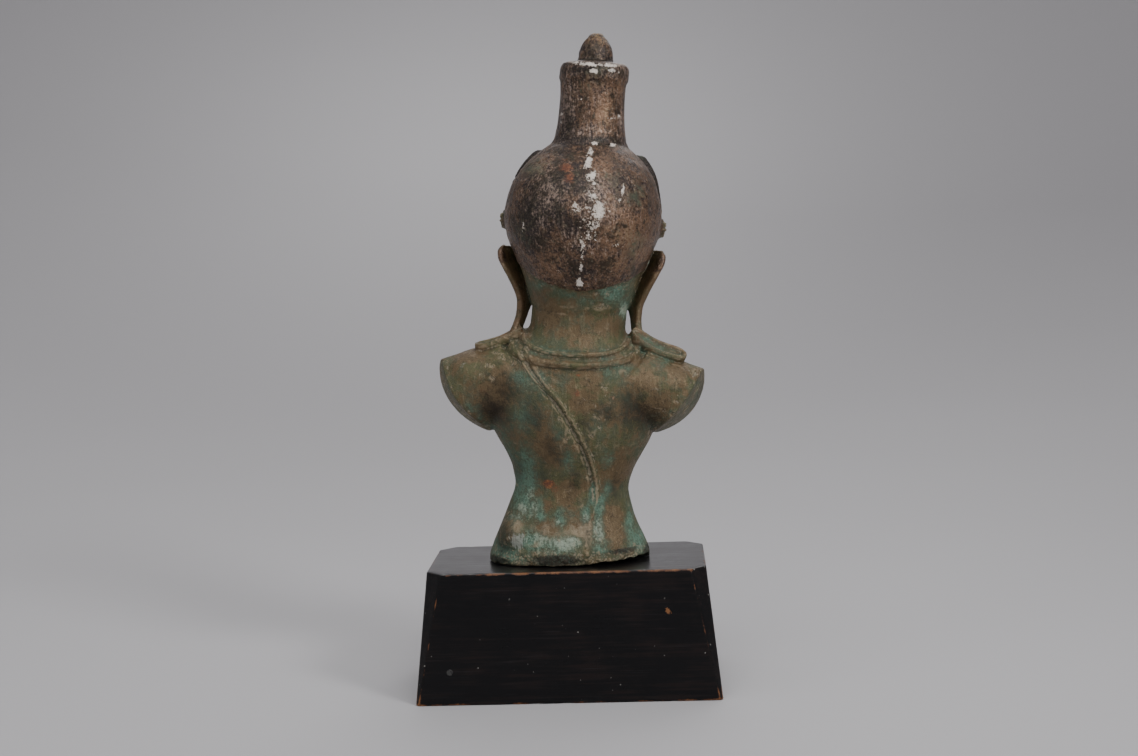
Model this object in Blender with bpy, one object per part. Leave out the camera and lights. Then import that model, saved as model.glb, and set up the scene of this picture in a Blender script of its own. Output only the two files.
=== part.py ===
"""Bronze bust of a crowned Buddha on a black-painted wooden plinth.

Metres, +Z up, origin at the centre of the plinth's underside. The face looks
along -Y, and the figure's left side is +X. The bust is one casting: a head
with a leafed diadem, a tall topknot with a bud on it, long ears whose lobes
end in loops on the shoulders, a necklace of two rolls, a robe whose hem
crosses the back, and arms that end in oblique cut faces. It is modelled
upright as overlapping closed forms, leaned over, joined and thinned out.

The measures of the figure are in parts: 370 parts make its height.
"""

import math

import bmesh
import bpy
import numpy as np

# Driving dimensions, in metres.
BUST_HEIGHT = 0.370
PLINTH_HEIGHT = 0.090
PLINTH_FOOT_WIDTH = 0.212
PLINTH_FOOT_DEPTH = 0.119
PLINTH_TOP_WIDTH = 0.194
PLINTH_TOP_DEPTH = 0.101
CORNER_CUT_AT_TOP = 0.0108
CORNER_CUT_AT_FOOT = 0.0020
PLINTH_EDGE_ROUNDING = 0.0008
SEAT_GAP = 0.0003

PART = BUST_HEIGHT / 370
JOINING_GRID = BUST_HEIGHT / 240
TRIANGLES_KEPT = 0.062

# The figure leans to its right: rows of height, then where its middle stands.
SPINE = (
    (-20, -0.8),
    (20, -1.3),
    (40, -2.8),
    (56, -4.7),
    (80, -6.6),
    (110, -5.8),
    (130, -6.6),
    (150, -9.6),
    (166, -12.4),
    (184, -14.5),
    (226, -17.3),
    (254, -19.7),
    (270, -21.9),
    (290, -24.8),
    (314, -26.9),
    (330, -28.2),
    (345, -30.2),
    (370, -32.6),
)
# Rows of height, then how far a level line is turned there, in degrees.
LEAN = ((-20, 0.0), (10, 0.0), (50, 2.2), (110, 3.2), (170, 5.2), (400, 5.2))

# Rows of height, half width, depth to the front and depth to the back.
TRUNK = (
    (-6, 57.2, 33.5, 35.5),
    (4, 56.9, 33.5, 35.5),
    (12, 54.3, 32.5, 34.5),
    (24, 48.9, 31.5, 32.0),
    (38, 43.8, 29.5, 29.0),
    (52, 40.2, 28.5, 27.5),
    (64, 42.7, 30.5, 29.5),
    (76, 48.2, 34.5, 33.0),
    (86, 53.8, 37.5, 36.0),
    (98, 59.0, 40.0, 38.2),
    (112, 62.5, 41.5, 39.6),
    (124, 64.0, 41.0, 39.8),
    (135, 62.0, 37.5, 38.5),
    (146, 53.0, 32.5, 36.5),
    (154, 41.5, 28.5, 34.0),
    (160, 35.5, 26.5, 32.3),
    (166, 33.4, 25.5, 31.5),
    (174, 33.3, 24.5, 31.5),
    (196, 32.0, 22.0, 30.0),
)
HEAD = (
    (170, 30.0, 20.0, 27.0),
    (173, 31.2, 27.0, 31.0),
    (176, 32.6, 37.0, 32.5),
    (179, 33.8, 43.0, 33.8),
    (184, 35.4, 46.2, 35.9),
    (191, 37.8, 47.6, 39.9),
    (200, 41.0, 48.5, 44.8),
    (210, 45.2, 48.5, 49.2),
    (219, 49.0, 49.5, 52.0),
    (230, 52.8, 51.8, 54.4),
    (240, 54.2, 51.6, 55.2),
    (250, 53.2, 49.6, 54.2),
    (259, 50.8, 46.4, 51.6),
    (268, 47.2, 41.6, 47.0),
    (276, 42.0, 35.4, 41.0),
    (283, 35.2, 29.2, 34.4),
    (289, 28.0, 24.0, 28.0),
    (294, 20.0, 18.0, 20.0),
)
# Rows of height and radius.
TOPKNOT = (
    (282, 26.0),
    (288, 27.4),
    (290.5, 27.0),
    (294, 25.2),
    (298, 24.5),
    (306, 23.4),
    (314, 22.9),
    (324, 22.6),
    (330, 22.8),
    (333.6, 23.2),
    (335.6, 24.2),
    (341.6, 24.2),
    (345, 23.0),
    (347, 20.0),
    (348, 12.6),
    (353.5, 11.8),
    (358, 10.4),
    (362, 8.2),
    (365.4, 5.6),
    (367.6, 3.0),
)
# Rows of height, then x and y of the ear's front edge and of its back edge.
EAR = (
    (218, 51.5, -8.0, 56.0, 1.0),
    (214.5, 48.5, -12.0, 57.8, 3.0),
    (209, 45.8, -15.0, 57.0, 5.5),
    (203, 42.5, -16.0, 53.8, 6.5),
    (196, 39.0, -14.0, 49.8, 5.5),
    (188, 36.2, -11.0, 45.8, 4.0),
    (180, 35.0, -8.0, 43.0, 3.0),
    (172, 37.0, -5.0, 42.6, 3.5),
    (164, 39.0, -2.0, 44.0, 6.0),
    (155, 41.5, 1.0, 46.5, 10.0),
)
EAR_RIM = 3.0
EAR_HOLLOW = 1.3
EAR_BACKING = 2.4
# The right ear was cast a little longer: how far its top is lifted, and from which height on.
RIGHT_EAR_LIFT = 3.0
RIGHT_EAR_LIFT_FROM = 180

# Each lobe ends in a loop: its line over the shoulder, its length on each side.
LOOP_LINE = ((38, 161), (45, 157.0), (52, 153.0), (60, 149.8), (69, 147.4), (80, 144.5))
LOOP_REACH_LEFT = 69.5
LOOP_REACH_RIGHT = 78.5
LOOP_RISE_RIGHT = 3.0
LOOP_TILT_LEFT = math.radians(8)
LOOP_TILT_RIGHT = math.radians(38)
LOOP_HALF_WIDTH = 6.6
LOOP_RIM = 2.6
LOOP_WEB = 1.2
LOOP_BACKING = 4.0
LOOP_SET_BACK = 8.0

# Each arm runs outwards and down from the shoulder, to a cut that bulges.
ARM_SLOPE = math.radians(35.3)
ARM_ROOT = (36, 0, 128)
CUT_CENTRE_LEFT = (76.3, 0, 113.3)
CUT_CENTRE_RIGHT = (75.5, 0, 115.0)
ARM_HALF_HEIGHT_AT_CUT = 29.5
ARM_HALF_DEPTH_AT_CUT = 25.0
ARM_HALF_HEIGHT_AT_ROOT = 29.0
ARM_HALF_DEPTH_AT_ROOT = 35.0
CUT_BULGE = 8.5
CUT_DOME = 1.5
CUT_TURN = math.radians(14)
# Rows of the shoulder: distance from the spine, height of its top, half depth, half height.
SHOULDER = (
    (20, 155, 30, 27),
    (36, 153.2, 31, 27),
    (52, 150.2, 30, 25),
    (68, 146.5, 28, 20),
    (79, 142.5, 24, 14),
    (86, 138.5, 17, 7),
)

HIP_CENTRE = (30, 8.5, 17)
HIP_RADII = (20.5, 20.5, 19)

# The necklace: the height of its two rolls at the back, side and front.
NECKLACE_UPPER = (147.5, 159.5, 149.0)
NECKLACE_LOWER = (140.4, 154.0, 141.0)
NECKLACE_UPPER_RADIUS = 1.9
NECKLACE_LOWER_RADIUS = 2.5

# The robe's hem, as x and height, on the back and on the front.
HEM_BACK = (
    (36, 153),
    (20, 130.5),
    (5.4, 113),
    (-6.5, 90.3),
    (-13, 72),
    (-17.8, 54),
    (-18.6, 45),
    (-17.0, 36),
    (-15.0, 26),
    (-13.6, 14),
    (-13.2, 4),
)
HEM_FRONT = ((33, 153), (26, 140), (12, 124), (-8, 107.5), (-30, 94), (-47, 86))
HEM_RADIUS = 1.7

# The diadem's band and its leaves: azimuth from the face, tip height, half width.
BAND_HEIGHT_FRONT = 243.5
BAND_HEIGHT_SIDE = 238.0
BAND_HALF_HEIGHT = 4.0
BAND_RELIEF_FRONT = 2.4
BAND_RELIEF_SIDE = 1.2
BAND_END = math.radians(94)
LEAVES = ((0, 292, 12.5), (37, 290, 12.0), (70, 287, 11.0))
LEAF_FOOT = 244
LEAF_BELLY = 0.25
LEAF_RELIEF_AT_FOOT = 1.3
LEAF_RELIEF_AT_TIP = 9.5
LEAF_CURL = 3
ROSETTE_AZIMUTH = math.radians(86)
ROSETTE_HEIGHT = 235.5
ROSETTE_RADIUS = 6.5
ROSETTE_RELIEF = 3.2
HAIRLINE_NAPE = 191.5
HAIRLINE_SIDE = 206
HAIRLINE_REACH = 1.2
HAIR_RELIEF = 1.0

# The face has plain, usual proportions. Rows of height, how far the nose stands out, its half width.
NOSE = (
    (194, 0, 6.5),
    (197, 1.5, 6.4),
    (199, 8.0, 6.3),
    (201.5, 12.0, 6.2),
    (204, 11.6, 5.8),
    (210, 8.6, 4.6),
    (218, 5.1, 4.2),
    (226, 2.4, 5.2),
    (236, 0, 7.0),
)
# Swellings and hollows: distance from the middle, half width, height, half height, relief.
MOUNDS = (
    ("wings of the nose", 7.6, 3.0, 200.8, 2.9, 5.0),
    ("eye sockets", 17.5, 10.5, 218.5, 7.0, -5.2),
    ("eyeballs", 18.0, 10.0, 215.0, 5.0, 4.4),
    ("cheeks", 25.0, 12.0, 201.0, 12.0, 1.8),
    ("muzzle", 0.0, 17.0, 190.5, 8.0, 2.4),
    ("chin", 0.0, 9.0, 180.5, 4.5, 2.6),
    ("mark between the brows", 0.0, 2.0, 232.0, 2.0, 1.3),
)
BROW_TOP = (17, 231.5)
BROW_CURVE = 0.034
BROW_RADIUS = 2.4
BROW_RELIEF = 1.7
MOUTH_HEIGHT = 190.3
MOUTH_HALF_WIDTH = 13.0
MOUTH_CORNER_RISE = 1.8
LIP_DROP = 2.8
LIP_RADIUS = 2.3
LIP_RELIEF = 2.6
LIP_LINE_RADIUS = 0.9
LIP_LINE_DEPTH = 1.8

# The broken edge that lifts off the plinth, at the back of the figure's right.
BREAK_FROM = -4.0
BREAK_RISE = math.radians(4.2)
BREAK_FRONT = 4.0

BRONZE = (0.115, 0.095, 0.062, 1.0)
BLACK_PAINT = (0.012, 0.011, 0.011, 1.0)

# How finely the forms are lofted, and how far round the head the face fades out.
HEAD_SIDES = 144
HEAD_ROWS = 110
NECKLACE_POINTS = 96
HEM_POINTS = 60
FACE_BLEND = 14


def curve_through(rows):
    """A function of the first column that gives the others, smooth and with no overshoot."""
    table = np.array(rows, float)
    table = table[np.argsort(table[:, 0])]
    at, values = table[:, 0], table[:, 1:]
    step = np.diff(at)[:, None]
    slope = np.diff(values, axis=0) / step
    tangent = np.zeros_like(values)
    tangent[0], tangent[-1] = slope[0], slope[-1]
    before, after = slope[:-1], slope[1:]
    same_way = before * after > 0
    sum_of_both = np.where(same_way, before + after, 1.0)
    tangent[1:-1] = np.where(same_way, 2 * before * after / sum_of_both, 0.0)

    def value(x):
        x = np.clip(np.asarray(x, float), at[0], at[-1])
        i = np.clip(np.searchsorted(at, x, side="right") - 1, 0, len(at) - 2)
        h = step[i, 0][..., None]
        t = ((x - at[i]) / step[i, 0])[..., None]
        return (
            values[i] * (2 * t**3 - 3 * t**2 + 1)
            + tangent[i] * h * (t**3 - 2 * t**2 + t)
            + values[i + 1] * (3 * t**2 - 2 * t**3)
            + tangent[i + 1] * h * (t**3 - t**2)
        )

    return value


def step_between(low, high, x):
    t = np.clip((x - low) / (high - low), 0, 1)
    return t * t * (3 - 2 * t)


def hump(x, centre, width, power=2):
    return np.exp(-(np.abs((x - centre) / width) ** power))


trunk_at = curve_through(TRUNK)
head_at = curve_through(HEAD)


spine_at = curve_through(SPINE)
turn_at = curve_through(LEAN)


def leaned(points):
    """Points of the upright figure, in parts, moved to where the leaning bust has them, in metres."""
    x, y, height = np.asarray(points, float).T
    lean = np.radians(turn_at(height)[..., 0])
    spine = spine_at(height)[..., 0]
    placed = np.stack([spine + x * np.cos(lean), y, height + x * np.sin(lean)], axis=1) * PART
    placed[:, 2] += PLINTH_HEIGHT + SEAT_GAP
    return placed


def oval(half_width, front, back, angle, squareness=2.15):
    """x and y of an oval section, where angle 0 is +X and a quarter turn is the back."""
    cos, sin = np.cos(angle), np.sin(angle)
    x = half_width * np.sign(cos) * np.abs(cos) ** (2 / squareness)
    y = np.where(sin > 0, back, front) * np.sign(sin) * np.abs(sin) ** (2 / squareness)
    return x, y


def loft(mesh, rings):
    """Adds a closed form to the mesh: rings of as many points each, with flat ends."""
    loops = [[mesh.verts.new(point) for point in ring] for ring in rings]
    for near, far in zip(loops, loops[1:]):
        for i in range(len(near)):
            j = (i + 1) % len(near)
            mesh.faces.new((near[i], near[j], far[j], far[i]))
    mesh.faces.new(reversed(loops[0]))
    mesh.faces.new(loops[-1])


def add_trunk(mesh, sides=72, rows=70):
    angle = np.linspace(0, 2 * np.pi, sides, endpoint=False)
    rings = []
    for height in np.linspace(TRUNK[0][0], TRUNK[-1][0], rows):
        x, y = oval(*trunk_at(height), angle)
        rings.append(leaned(np.stack([x, y, np.full(sides, height)], 1)))
    loft(mesh, rings)


def face_relief(x, height):
    """How far the face stands forward of the plain head, in parts."""
    across = np.abs(x)
    nose, nose_half_width = curve_through(NOSE)(height).T
    relief = nose * hump(x, 0, nose_half_width, 2.4)
    for name, distance, half_width, level, half_height, rise in MOUNDS:
        relief += rise * hump(across, distance, half_width) * hump(height, level, half_height)
    brow_line = BROW_TOP[1] - BROW_CURVE * (across - BROW_TOP[0]) ** 2
    relief += BROW_RELIEF * hump(height, brow_line, BROW_RADIUS) * hump(across, BROW_TOP[0], BROW_TOP[0], 4)
    mouth_line = MOUTH_HEIGHT + MOUTH_CORNER_RISE * (across / MOUTH_HALF_WIDTH) ** 2
    for lip_side in (1, -1):
        lip_line = mouth_line + LIP_DROP * lip_side
        relief += LIP_RELIEF * hump(height, lip_line, LIP_RADIUS) * hump(across, 0, MOUTH_HALF_WIDTH, 4)
    between_lips = hump(height, mouth_line, LIP_LINE_RADIUS) * hump(across, 0, MOUTH_HALF_WIDTH, 6)
    return relief - LIP_LINE_DEPTH * between_lips


def crown_relief(azimuth, height, girth):
    """How far the diadem stands off the head, in parts. Azimuth 0 is the front."""
    band_height = BAND_HEIGHT_SIDE + (BAND_HEIGHT_FRONT - BAND_HEIGHT_SIDE) * np.cos(azimuth / 2) ** 6
    band = BAND_RELIEF_SIDE + (BAND_RELIEF_FRONT - BAND_RELIEF_SIDE) * np.cos(azimuth / 2) ** 4
    band = band * hump(height, band_height, BAND_HALF_HEIGHT, 6)
    band *= 1 - step_between(BAND_END - 0.05, BAND_END, azimuth)
    relief = band
    for leaf_azimuth, tip, half_width in LEAVES:
        rise = np.clip((height - LEAF_FOOT) / (tip - LEAF_FOOT), 0, 1)
        outline = half_width * (1 - rise**3) * (1 + LEAF_BELLY * np.sin(np.pi * rise))
        beside = np.abs(azimuth - math.radians(leaf_azimuth)) * girth
        inside = step_between(0, 1.6, outline - beside) * (height < tip) * (height > LEAF_FOOT - 3)
        depth = LEAF_RELIEF_AT_FOOT + (LEAF_RELIEF_AT_TIP - LEAF_RELIEF_AT_FOOT) * rise**LEAF_CURL
        relief = np.maximum(relief, depth * inside)
    away = np.hypot((azimuth - ROSETTE_AZIMUTH) * girth, height - ROSETTE_HEIGHT)
    return np.maximum(relief, ROSETTE_RELIEF * hump(away, 0, ROSETTE_RADIUS, 4))


def hair_relief(azimuth, height):
    """The hair stands a little proud of the skin, above a line that dips at the nape."""
    from_nape = np.clip((np.pi - azimuth) / HAIRLINE_REACH, 0, 1)
    line = HAIRLINE_NAPE + (HAIRLINE_SIDE - HAIRLINE_NAPE) * from_nape**1.5
    return HAIR_RELIEF * step_between(line - 1.0, line + 1.0, height) * step_between(1.4, 1.8, azimuth)


def add_head(mesh, sides=HEAD_SIDES, rows=HEAD_ROWS):
    angle = np.linspace(0, 2 * np.pi, sides, endpoint=False)
    rings = []
    for height in np.linspace(HEAD[0][0], HEAD[-1][0], rows):
        x, y = oval(*head_at(height), angle)
        girth = np.hypot(x, y)
        azimuth = np.arctan2(np.abs(x), -y)
        heights = np.full(sides, height)
        grow = 1 + (crown_relief(azimuth, heights, girth) + hair_relief(azimuth, heights)) / girth
        facing = step_between(0, FACE_BLEND, -y)
        y = y * grow - face_relief(x, heights) * facing
        rings.append(leaned(np.stack([x * grow, y, heights], 1)))
    loft(mesh, rings)


def add_topknot(mesh, sides=56):
    angle = np.linspace(0, 2 * np.pi, sides, endpoint=False)
    rings = []
    for height, radius in TOPKNOT:
        ring = np.stack([radius * np.cos(angle), radius * np.sin(angle), np.full(sides, height)], 1)
        rings.append(leaned(ring))
    loft(mesh, rings)


def rimmed_strip(start, end, solid_way, rim, hollow, backing, points=12):
    """A section from start to end: a flat back, and a face with a round rim at each edge."""
    start, end, solid_way = (np.asarray(v, float) for v in (start, end, solid_way))
    across = np.cos(np.linspace(np.pi, 0, points))
    rounding = np.sqrt(np.clip(1 - across**8, 0.05, 1))
    face = np.where(np.abs(across) < 0.55, hollow, rim) * rounding
    line = (start + end) / 2 + across[:, None] * (end - start) / 2
    hollow_side = line - face[:, None] * solid_way
    solid_side = line + backing * rounding[:, None] * solid_way
    return np.vstack([hollow_side, solid_side[::-1]])


def add_ear(mesh, side):
    ear_at = curve_through(EAR)
    top = EAR[0][0]
    rings = []
    for height in np.linspace(EAR[-1][0], top, 34):
        front_x, front_y, back_x, back_y = ear_at(height)
        inward = np.array([front_y - back_y, back_x - front_x, 0.0])
        inward /= np.linalg.norm(inward)
        taper = 1 - 0.5 * step_between(top - 5, top, height)
        front, back = (front_x, front_y, height), (back_x, back_y, height)
        ring = rimmed_strip(front, back, inward, EAR_RIM * taper, EAR_HOLLOW * taper, EAR_BACKING * taper)
        ring[:, 0] *= side
        if side < 0:
            ring[:, 2] += RIGHT_EAR_LIFT * step_between(RIGHT_EAR_LIFT_FROM, top, height)
        rings.append(leaned(ring))
    loft(mesh, rings)


def add_loop(mesh, side, reach, rise, tilt):
    """The end of the lobe, a flat channel that lies along the shoulder."""
    line_at = curve_through(LOOP_LINE)
    start = LOOP_LINE[0][0]
    width_way = np.array([0.0, math.cos(tilt), -math.sin(tilt)])
    rings = []
    for share in np.sin(np.linspace(0, np.pi / 2, 18)):
        out = start + (reach - start) * share
        height = float(line_at(out)[0])
        along = np.array([1.0, 0.0, float(line_at(out + 1)[0]) - height])
        down = -np.cross(along / np.linalg.norm(along), width_way)
        half_width = LOOP_HALF_WIDTH * math.sqrt(max(0.03, 1 - (2 * share - 1) ** 6))
        centre = np.array([out, LOOP_SET_BACK, height + rise])
        near, far = centre - half_width * width_way, centre + half_width * width_way
        ring = rimmed_strip(near, far, down, LOOP_RIM, LOOP_WEB, LOOP_BACKING + rise)
        ring[:, 0] *= side
        rings.append(leaned(ring))
    loft(mesh, rings)


def add_shoulder(mesh, side, sides=40):
    """The mass of the shoulder, hung below its top line."""
    angle = np.linspace(0, 2 * np.pi, sides, endpoint=False)
    rings = []
    shoulder_at = curve_through(SHOULDER)
    for out in np.linspace(SHOULDER[0][0], SHOULDER[-1][0], 20):
        top, half_depth, half_height = shoulder_at(out)
        y = half_depth * np.cos(angle)
        height = top - half_height + half_height * np.sin(angle)
        rings.append(leaned(np.stack([np.full(sides, side * out), y, height], 1)))
    loft(mesh, rings)


def add_arm(mesh, side, cut_centre, sides=48):
    """A short arm that ends in a cut, bulging and turned a little towards the back."""
    angle = np.linspace(0, 2 * np.pi, sides, endpoint=False)
    root, cut = np.array(ARM_ROOT, float), np.array(cut_centre, float)
    up_way = np.array([math.sin(ARM_SLOPE), 0.0, math.cos(ARM_SLOPE)])
    out_way = np.array([math.cos(ARM_SLOPE), 0.0, -math.sin(ARM_SLOPE)])
    rings = []
    for share, size in ((0, 1), (0.5, 1), (1, 1), (1, 0.8), (1, 0.5), (1, 0.2)):
        half_height = ARM_HALF_HEIGHT_AT_ROOT + (ARM_HALF_HEIGHT_AT_CUT - ARM_HALF_HEIGHT_AT_ROOT) * share
        half_depth = ARM_HALF_DEPTH_AT_ROOT + (ARM_HALF_DEPTH_AT_CUT - ARM_HALF_DEPTH_AT_ROOT) * share
        up, deep = size * half_height * np.sin(angle), size * half_depth * np.cos(angle)
        bulge = CUT_BULGE * (1 - (up / ARM_HALF_HEIGHT_AT_CUT) ** 2) + CUT_DOME * (1 - size**2)
        out = share * (bulge - deep * math.tan(CUT_TURN))
        ring = root + (cut - root) * share + np.outer(up, up_way) + np.outer(out, out_way)
        ring[:, 0] *= side
        ring[:, 1] += deep
        rings.append(leaned(ring))
    loft(mesh, rings)


def add_hip(mesh, sides=32, rows=14):
    angle = np.linspace(0, 2 * np.pi, sides, endpoint=False)
    rings = []
    for tip in np.linspace(-0.98, 0.98, rows) * np.pi / 2:
        level = np.full(sides, math.sin(tip))
        ball = np.stack([np.cos(angle) * math.cos(tip), np.sin(angle) * math.cos(tip), level], 1)
        rings.append(leaned(ball * HIP_RADII + HIP_CENTRE))
    loft(mesh, rings)


def add_roll(mesh, line, radius, closed, sides=10):
    """A round roll along a line of points of the upright figure."""
    line = np.asarray(line, float)
    if closed:
        ahead, behind = np.roll(line, -1, axis=0), np.roll(line, 1, axis=0)
    else:
        ahead, behind = np.vstack([line[1:], line[-1:]]), np.vstack([line[:1], line[:-1]])
    along = ahead - behind
    along /= np.linalg.norm(along, axis=1)[:, None]
    outward = line * [1, 1, 0]
    outward -= (outward * along).sum(1)[:, None] * along
    outward /= np.linalg.norm(outward, axis=1)[:, None]
    beside = np.cross(along, outward)
    angle = np.linspace(0, 2 * np.pi, sides, endpoint=False)
    rings = [
        leaned(p + radius * (np.cos(angle)[:, None] * o + np.sin(angle)[:, None] * b))
        for p, o, b in zip(line, outward, beside)
    ]
    if not closed:
        loft(mesh, rings)
        return
    loops = [[mesh.verts.new(point) for point in ring] for ring in rings]
    for near, far in zip(loops, loops[1:] + loops[:1]):
        for i in range(sides):
            j = (i + 1) % sides
            mesh.faces.new((near[i], near[j], far[j], far[i]))


def on_trunk(angle, height):
    """The point of the trunk's surface at an angle of its section."""
    x, y = oval(*trunk_at(height), angle)
    return np.array([float(x), float(y), float(height)])


def add_necklace(mesh, heights, radius, points=NECKLACE_POINTS):
    back, side, front = heights
    line = []
    for angle in np.linspace(0, 2 * np.pi, points, endpoint=False):
        end = back if math.sin(angle) > 0 else front
        line.append(on_trunk(angle, side + (end - side) * abs(math.sin(angle)) ** 1.4))
    add_roll(mesh, line, radius, closed=True)


def add_hem(mesh, rows, facing, points=HEM_POINTS):
    """The robe's hem lies on the back where facing is 1, and on the front where it is -1."""
    x_at = curve_through([(-height, x) for x, height in rows])
    line = []
    for depth in np.linspace(-rows[0][1], -rows[-1][1], points):
        height, x = -depth, float(x_at(depth)[0])
        half_width, front, back = trunk_at(height)
        across = min(abs(x) / half_width, 1)
        y = (1 - across**2.15) ** (1 / 2.15) * (back if facing > 0 else front) * facing
        line.append((x, y, height))
    add_roll(mesh, line, HEM_RADIUS, closed=False)


def material(name, colour, roughness, metallic):
    made = bpy.data.materials.new(name)
    made.use_nodes = True
    shader = made.node_tree.nodes["Principled BSDF"]
    shader.inputs["Base Color"].default_value = colour
    shader.inputs["Roughness"].default_value = roughness
    shader.inputs["Metallic"].default_value = metallic
    made.diffuse_color = colour
    return made


def object_of(name, mesh, finish=None):
    """Turns the forms into an object, with their faces pointing out."""
    bmesh.ops.recalc_face_normals(mesh, faces=mesh.faces)
    data = bpy.data.meshes.new(name)
    mesh.to_mesh(data)
    mesh.free()
    made = bpy.data.objects.new(name, data)
    bpy.context.scene.collection.objects.link(made)
    if finish:
        data.materials.append(finish)
    return made


def box_mesh(low, high):
    mesh = bmesh.new()
    corners = bmesh.ops.create_cube(mesh, size=1)["verts"]
    for corner in corners:
        corner.co = [low[i] + (high[i] - low[i]) * (corner.co[i] + 0.5) for i in range(3)]
    return mesh


def cutter(name, mesh, target):
    """Hides the form and takes it away from the target."""
    made = object_of(name, mesh)
    made.hide_render = True
    made.display_type = "WIRE"
    cut = target.modifiers.new(name, "BOOLEAN")
    cut.operation = "DIFFERENCE"
    cut.object = made


def cut_underside(bust):
    """Trims the bust flat above the plinth, then lifts the broken edge."""
    seat = PLINTH_HEIGHT + SEAT_GAP
    wide = BUST_HEIGHT
    cutter("flat_underside", box_mesh((-wide, -wide, seat - wide), (wide, wide, seat)), bust)
    edge = box_mesh((-wide, BREAK_FRONT * PART, -wide / 4), (0, wide, 0))
    for corner in edge.verts:
        x, z = corner.co.x, corner.co.z
        corner.co.x = x * math.cos(BREAK_RISE) + z * math.sin(BREAK_RISE) + BREAK_FROM * PART
        corner.co.z = -x * math.sin(BREAK_RISE) + z * math.cos(BREAK_RISE) + seat
    cutter("broken_edge", edge, bust)


def make_bust(finish):
    mesh = bmesh.new()
    add_trunk(mesh)
    add_head(mesh)
    add_topknot(mesh)
    add_hip(mesh)
    add_loop(mesh, 1, LOOP_REACH_LEFT, 0, LOOP_TILT_LEFT)
    add_loop(mesh, -1, LOOP_REACH_RIGHT, LOOP_RISE_RIGHT, LOOP_TILT_RIGHT)
    for side, cut_centre in ((1, CUT_CENTRE_LEFT), (-1, CUT_CENTRE_RIGHT)):
        add_ear(mesh, side)
        add_shoulder(mesh, side)
        add_arm(mesh, side, cut_centre)
    add_necklace(mesh, NECKLACE_UPPER, NECKLACE_UPPER_RADIUS)
    add_necklace(mesh, NECKLACE_LOWER, NECKLACE_LOWER_RADIUS)
    add_hem(mesh, HEM_BACK, facing=1)
    add_hem(mesh, HEM_FRONT, facing=-1)
    bust = object_of("bust", mesh, finish)
    joined = bust.modifiers.new("joined", "REMESH")
    joined.mode = "VOXEL"
    joined.voxel_size = JOINING_GRID
    joined.use_smooth_shade = True
    eased = bust.modifiers.new("eased", "SMOOTH")
    eased.factor = 0.5
    eased.iterations = 3
    thinned = bust.modifiers.new("thinned", "DECIMATE")
    thinned.ratio = TRIANGLES_KEPT
    cut_underside(bust)
    return bust


def make_plinth(finish):
    """A block that narrows upwards, with its four corners cut off, less so at the foot."""
    mesh = bmesh.new()
    loops = []
    for z, width, depth, cut in (
        (0, PLINTH_FOOT_WIDTH, PLINTH_FOOT_DEPTH, CORNER_CUT_AT_FOOT),
        (PLINTH_HEIGHT, PLINTH_TOP_WIDTH, PLINTH_TOP_DEPTH, CORNER_CUT_AT_TOP),
    ):
        half_width, half_depth = width / 2, depth / 2
        quarter = ((half_width, half_depth - cut), (half_width - cut, half_depth))
        corners = [(x, y) for x, y in quarter]
        corners += [(-x, y) for x, y in reversed(quarter)]
        corners += [(-x, -y) for x, y in quarter]
        corners += [(x, -y) for x, y in reversed(quarter)]
        loops.append([(x, y, z) for x, y in corners])
    loft(mesh, loops)
    plinth = object_of("plinth", mesh, finish)
    rounding = plinth.modifiers.new("worn_edges", "BEVEL")
    rounding.width = PLINTH_EDGE_ROUNDING
    rounding.segments = 2
    rounding.limit_method = "NONE"
    plinth.data.shade_smooth()
    plinth.data.set_sharp_from_angle(angle=math.radians(30))
    return plinth


def main():
    for old in list(bpy.data.objects):
        bpy.data.objects.remove(old)
    make_bust(material("bronze", BRONZE, 0.5, 0.8))
    make_plinth(material("black_painted_wood", BLACK_PAINT, 0.4, 0.0))


main()
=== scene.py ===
"""Looks of the bronze bust of a crowned Buddha and of its painted plinth, round the fixed frame.

The bust is sculpted upright in parts, about 368 to its height, leaned over as the solid is, and
joined into one skin. Its face looks along -Y, and the figure's left side is +X.
"""

import math
from types import SimpleNamespace

import bpy
import numpy as np
from mathutils import Euler, Matrix, Vector


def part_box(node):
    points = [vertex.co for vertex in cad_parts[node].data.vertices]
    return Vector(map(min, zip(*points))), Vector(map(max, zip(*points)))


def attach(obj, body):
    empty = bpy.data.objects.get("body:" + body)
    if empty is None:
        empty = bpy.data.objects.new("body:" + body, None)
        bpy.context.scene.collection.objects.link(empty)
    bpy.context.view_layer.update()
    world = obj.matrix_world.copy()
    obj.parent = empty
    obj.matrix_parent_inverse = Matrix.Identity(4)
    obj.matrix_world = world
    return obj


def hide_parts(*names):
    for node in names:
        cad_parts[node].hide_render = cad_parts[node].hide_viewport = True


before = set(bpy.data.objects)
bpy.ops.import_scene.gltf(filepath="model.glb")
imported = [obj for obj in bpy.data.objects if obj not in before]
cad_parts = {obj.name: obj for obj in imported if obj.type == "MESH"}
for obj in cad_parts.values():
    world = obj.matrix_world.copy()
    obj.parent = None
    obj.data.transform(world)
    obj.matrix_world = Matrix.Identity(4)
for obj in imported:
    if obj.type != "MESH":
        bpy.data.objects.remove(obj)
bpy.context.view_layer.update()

MM = 0.001
plinth_low, plinth_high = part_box("plinth")
bust_low, bust_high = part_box("bust")
SEAT = bust_low[2]
# How high the tip of the leaning bust stands, in parts.
TIP_HEIGHT = 367.634
PART = (bust_high[2] - SEAT) / TIP_HEIGHT

# The sculpting grid and the most faces the skin may have.
SKIN_GRID = 0.75 * MM
SKIN_TRIANGLES = 190000

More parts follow.
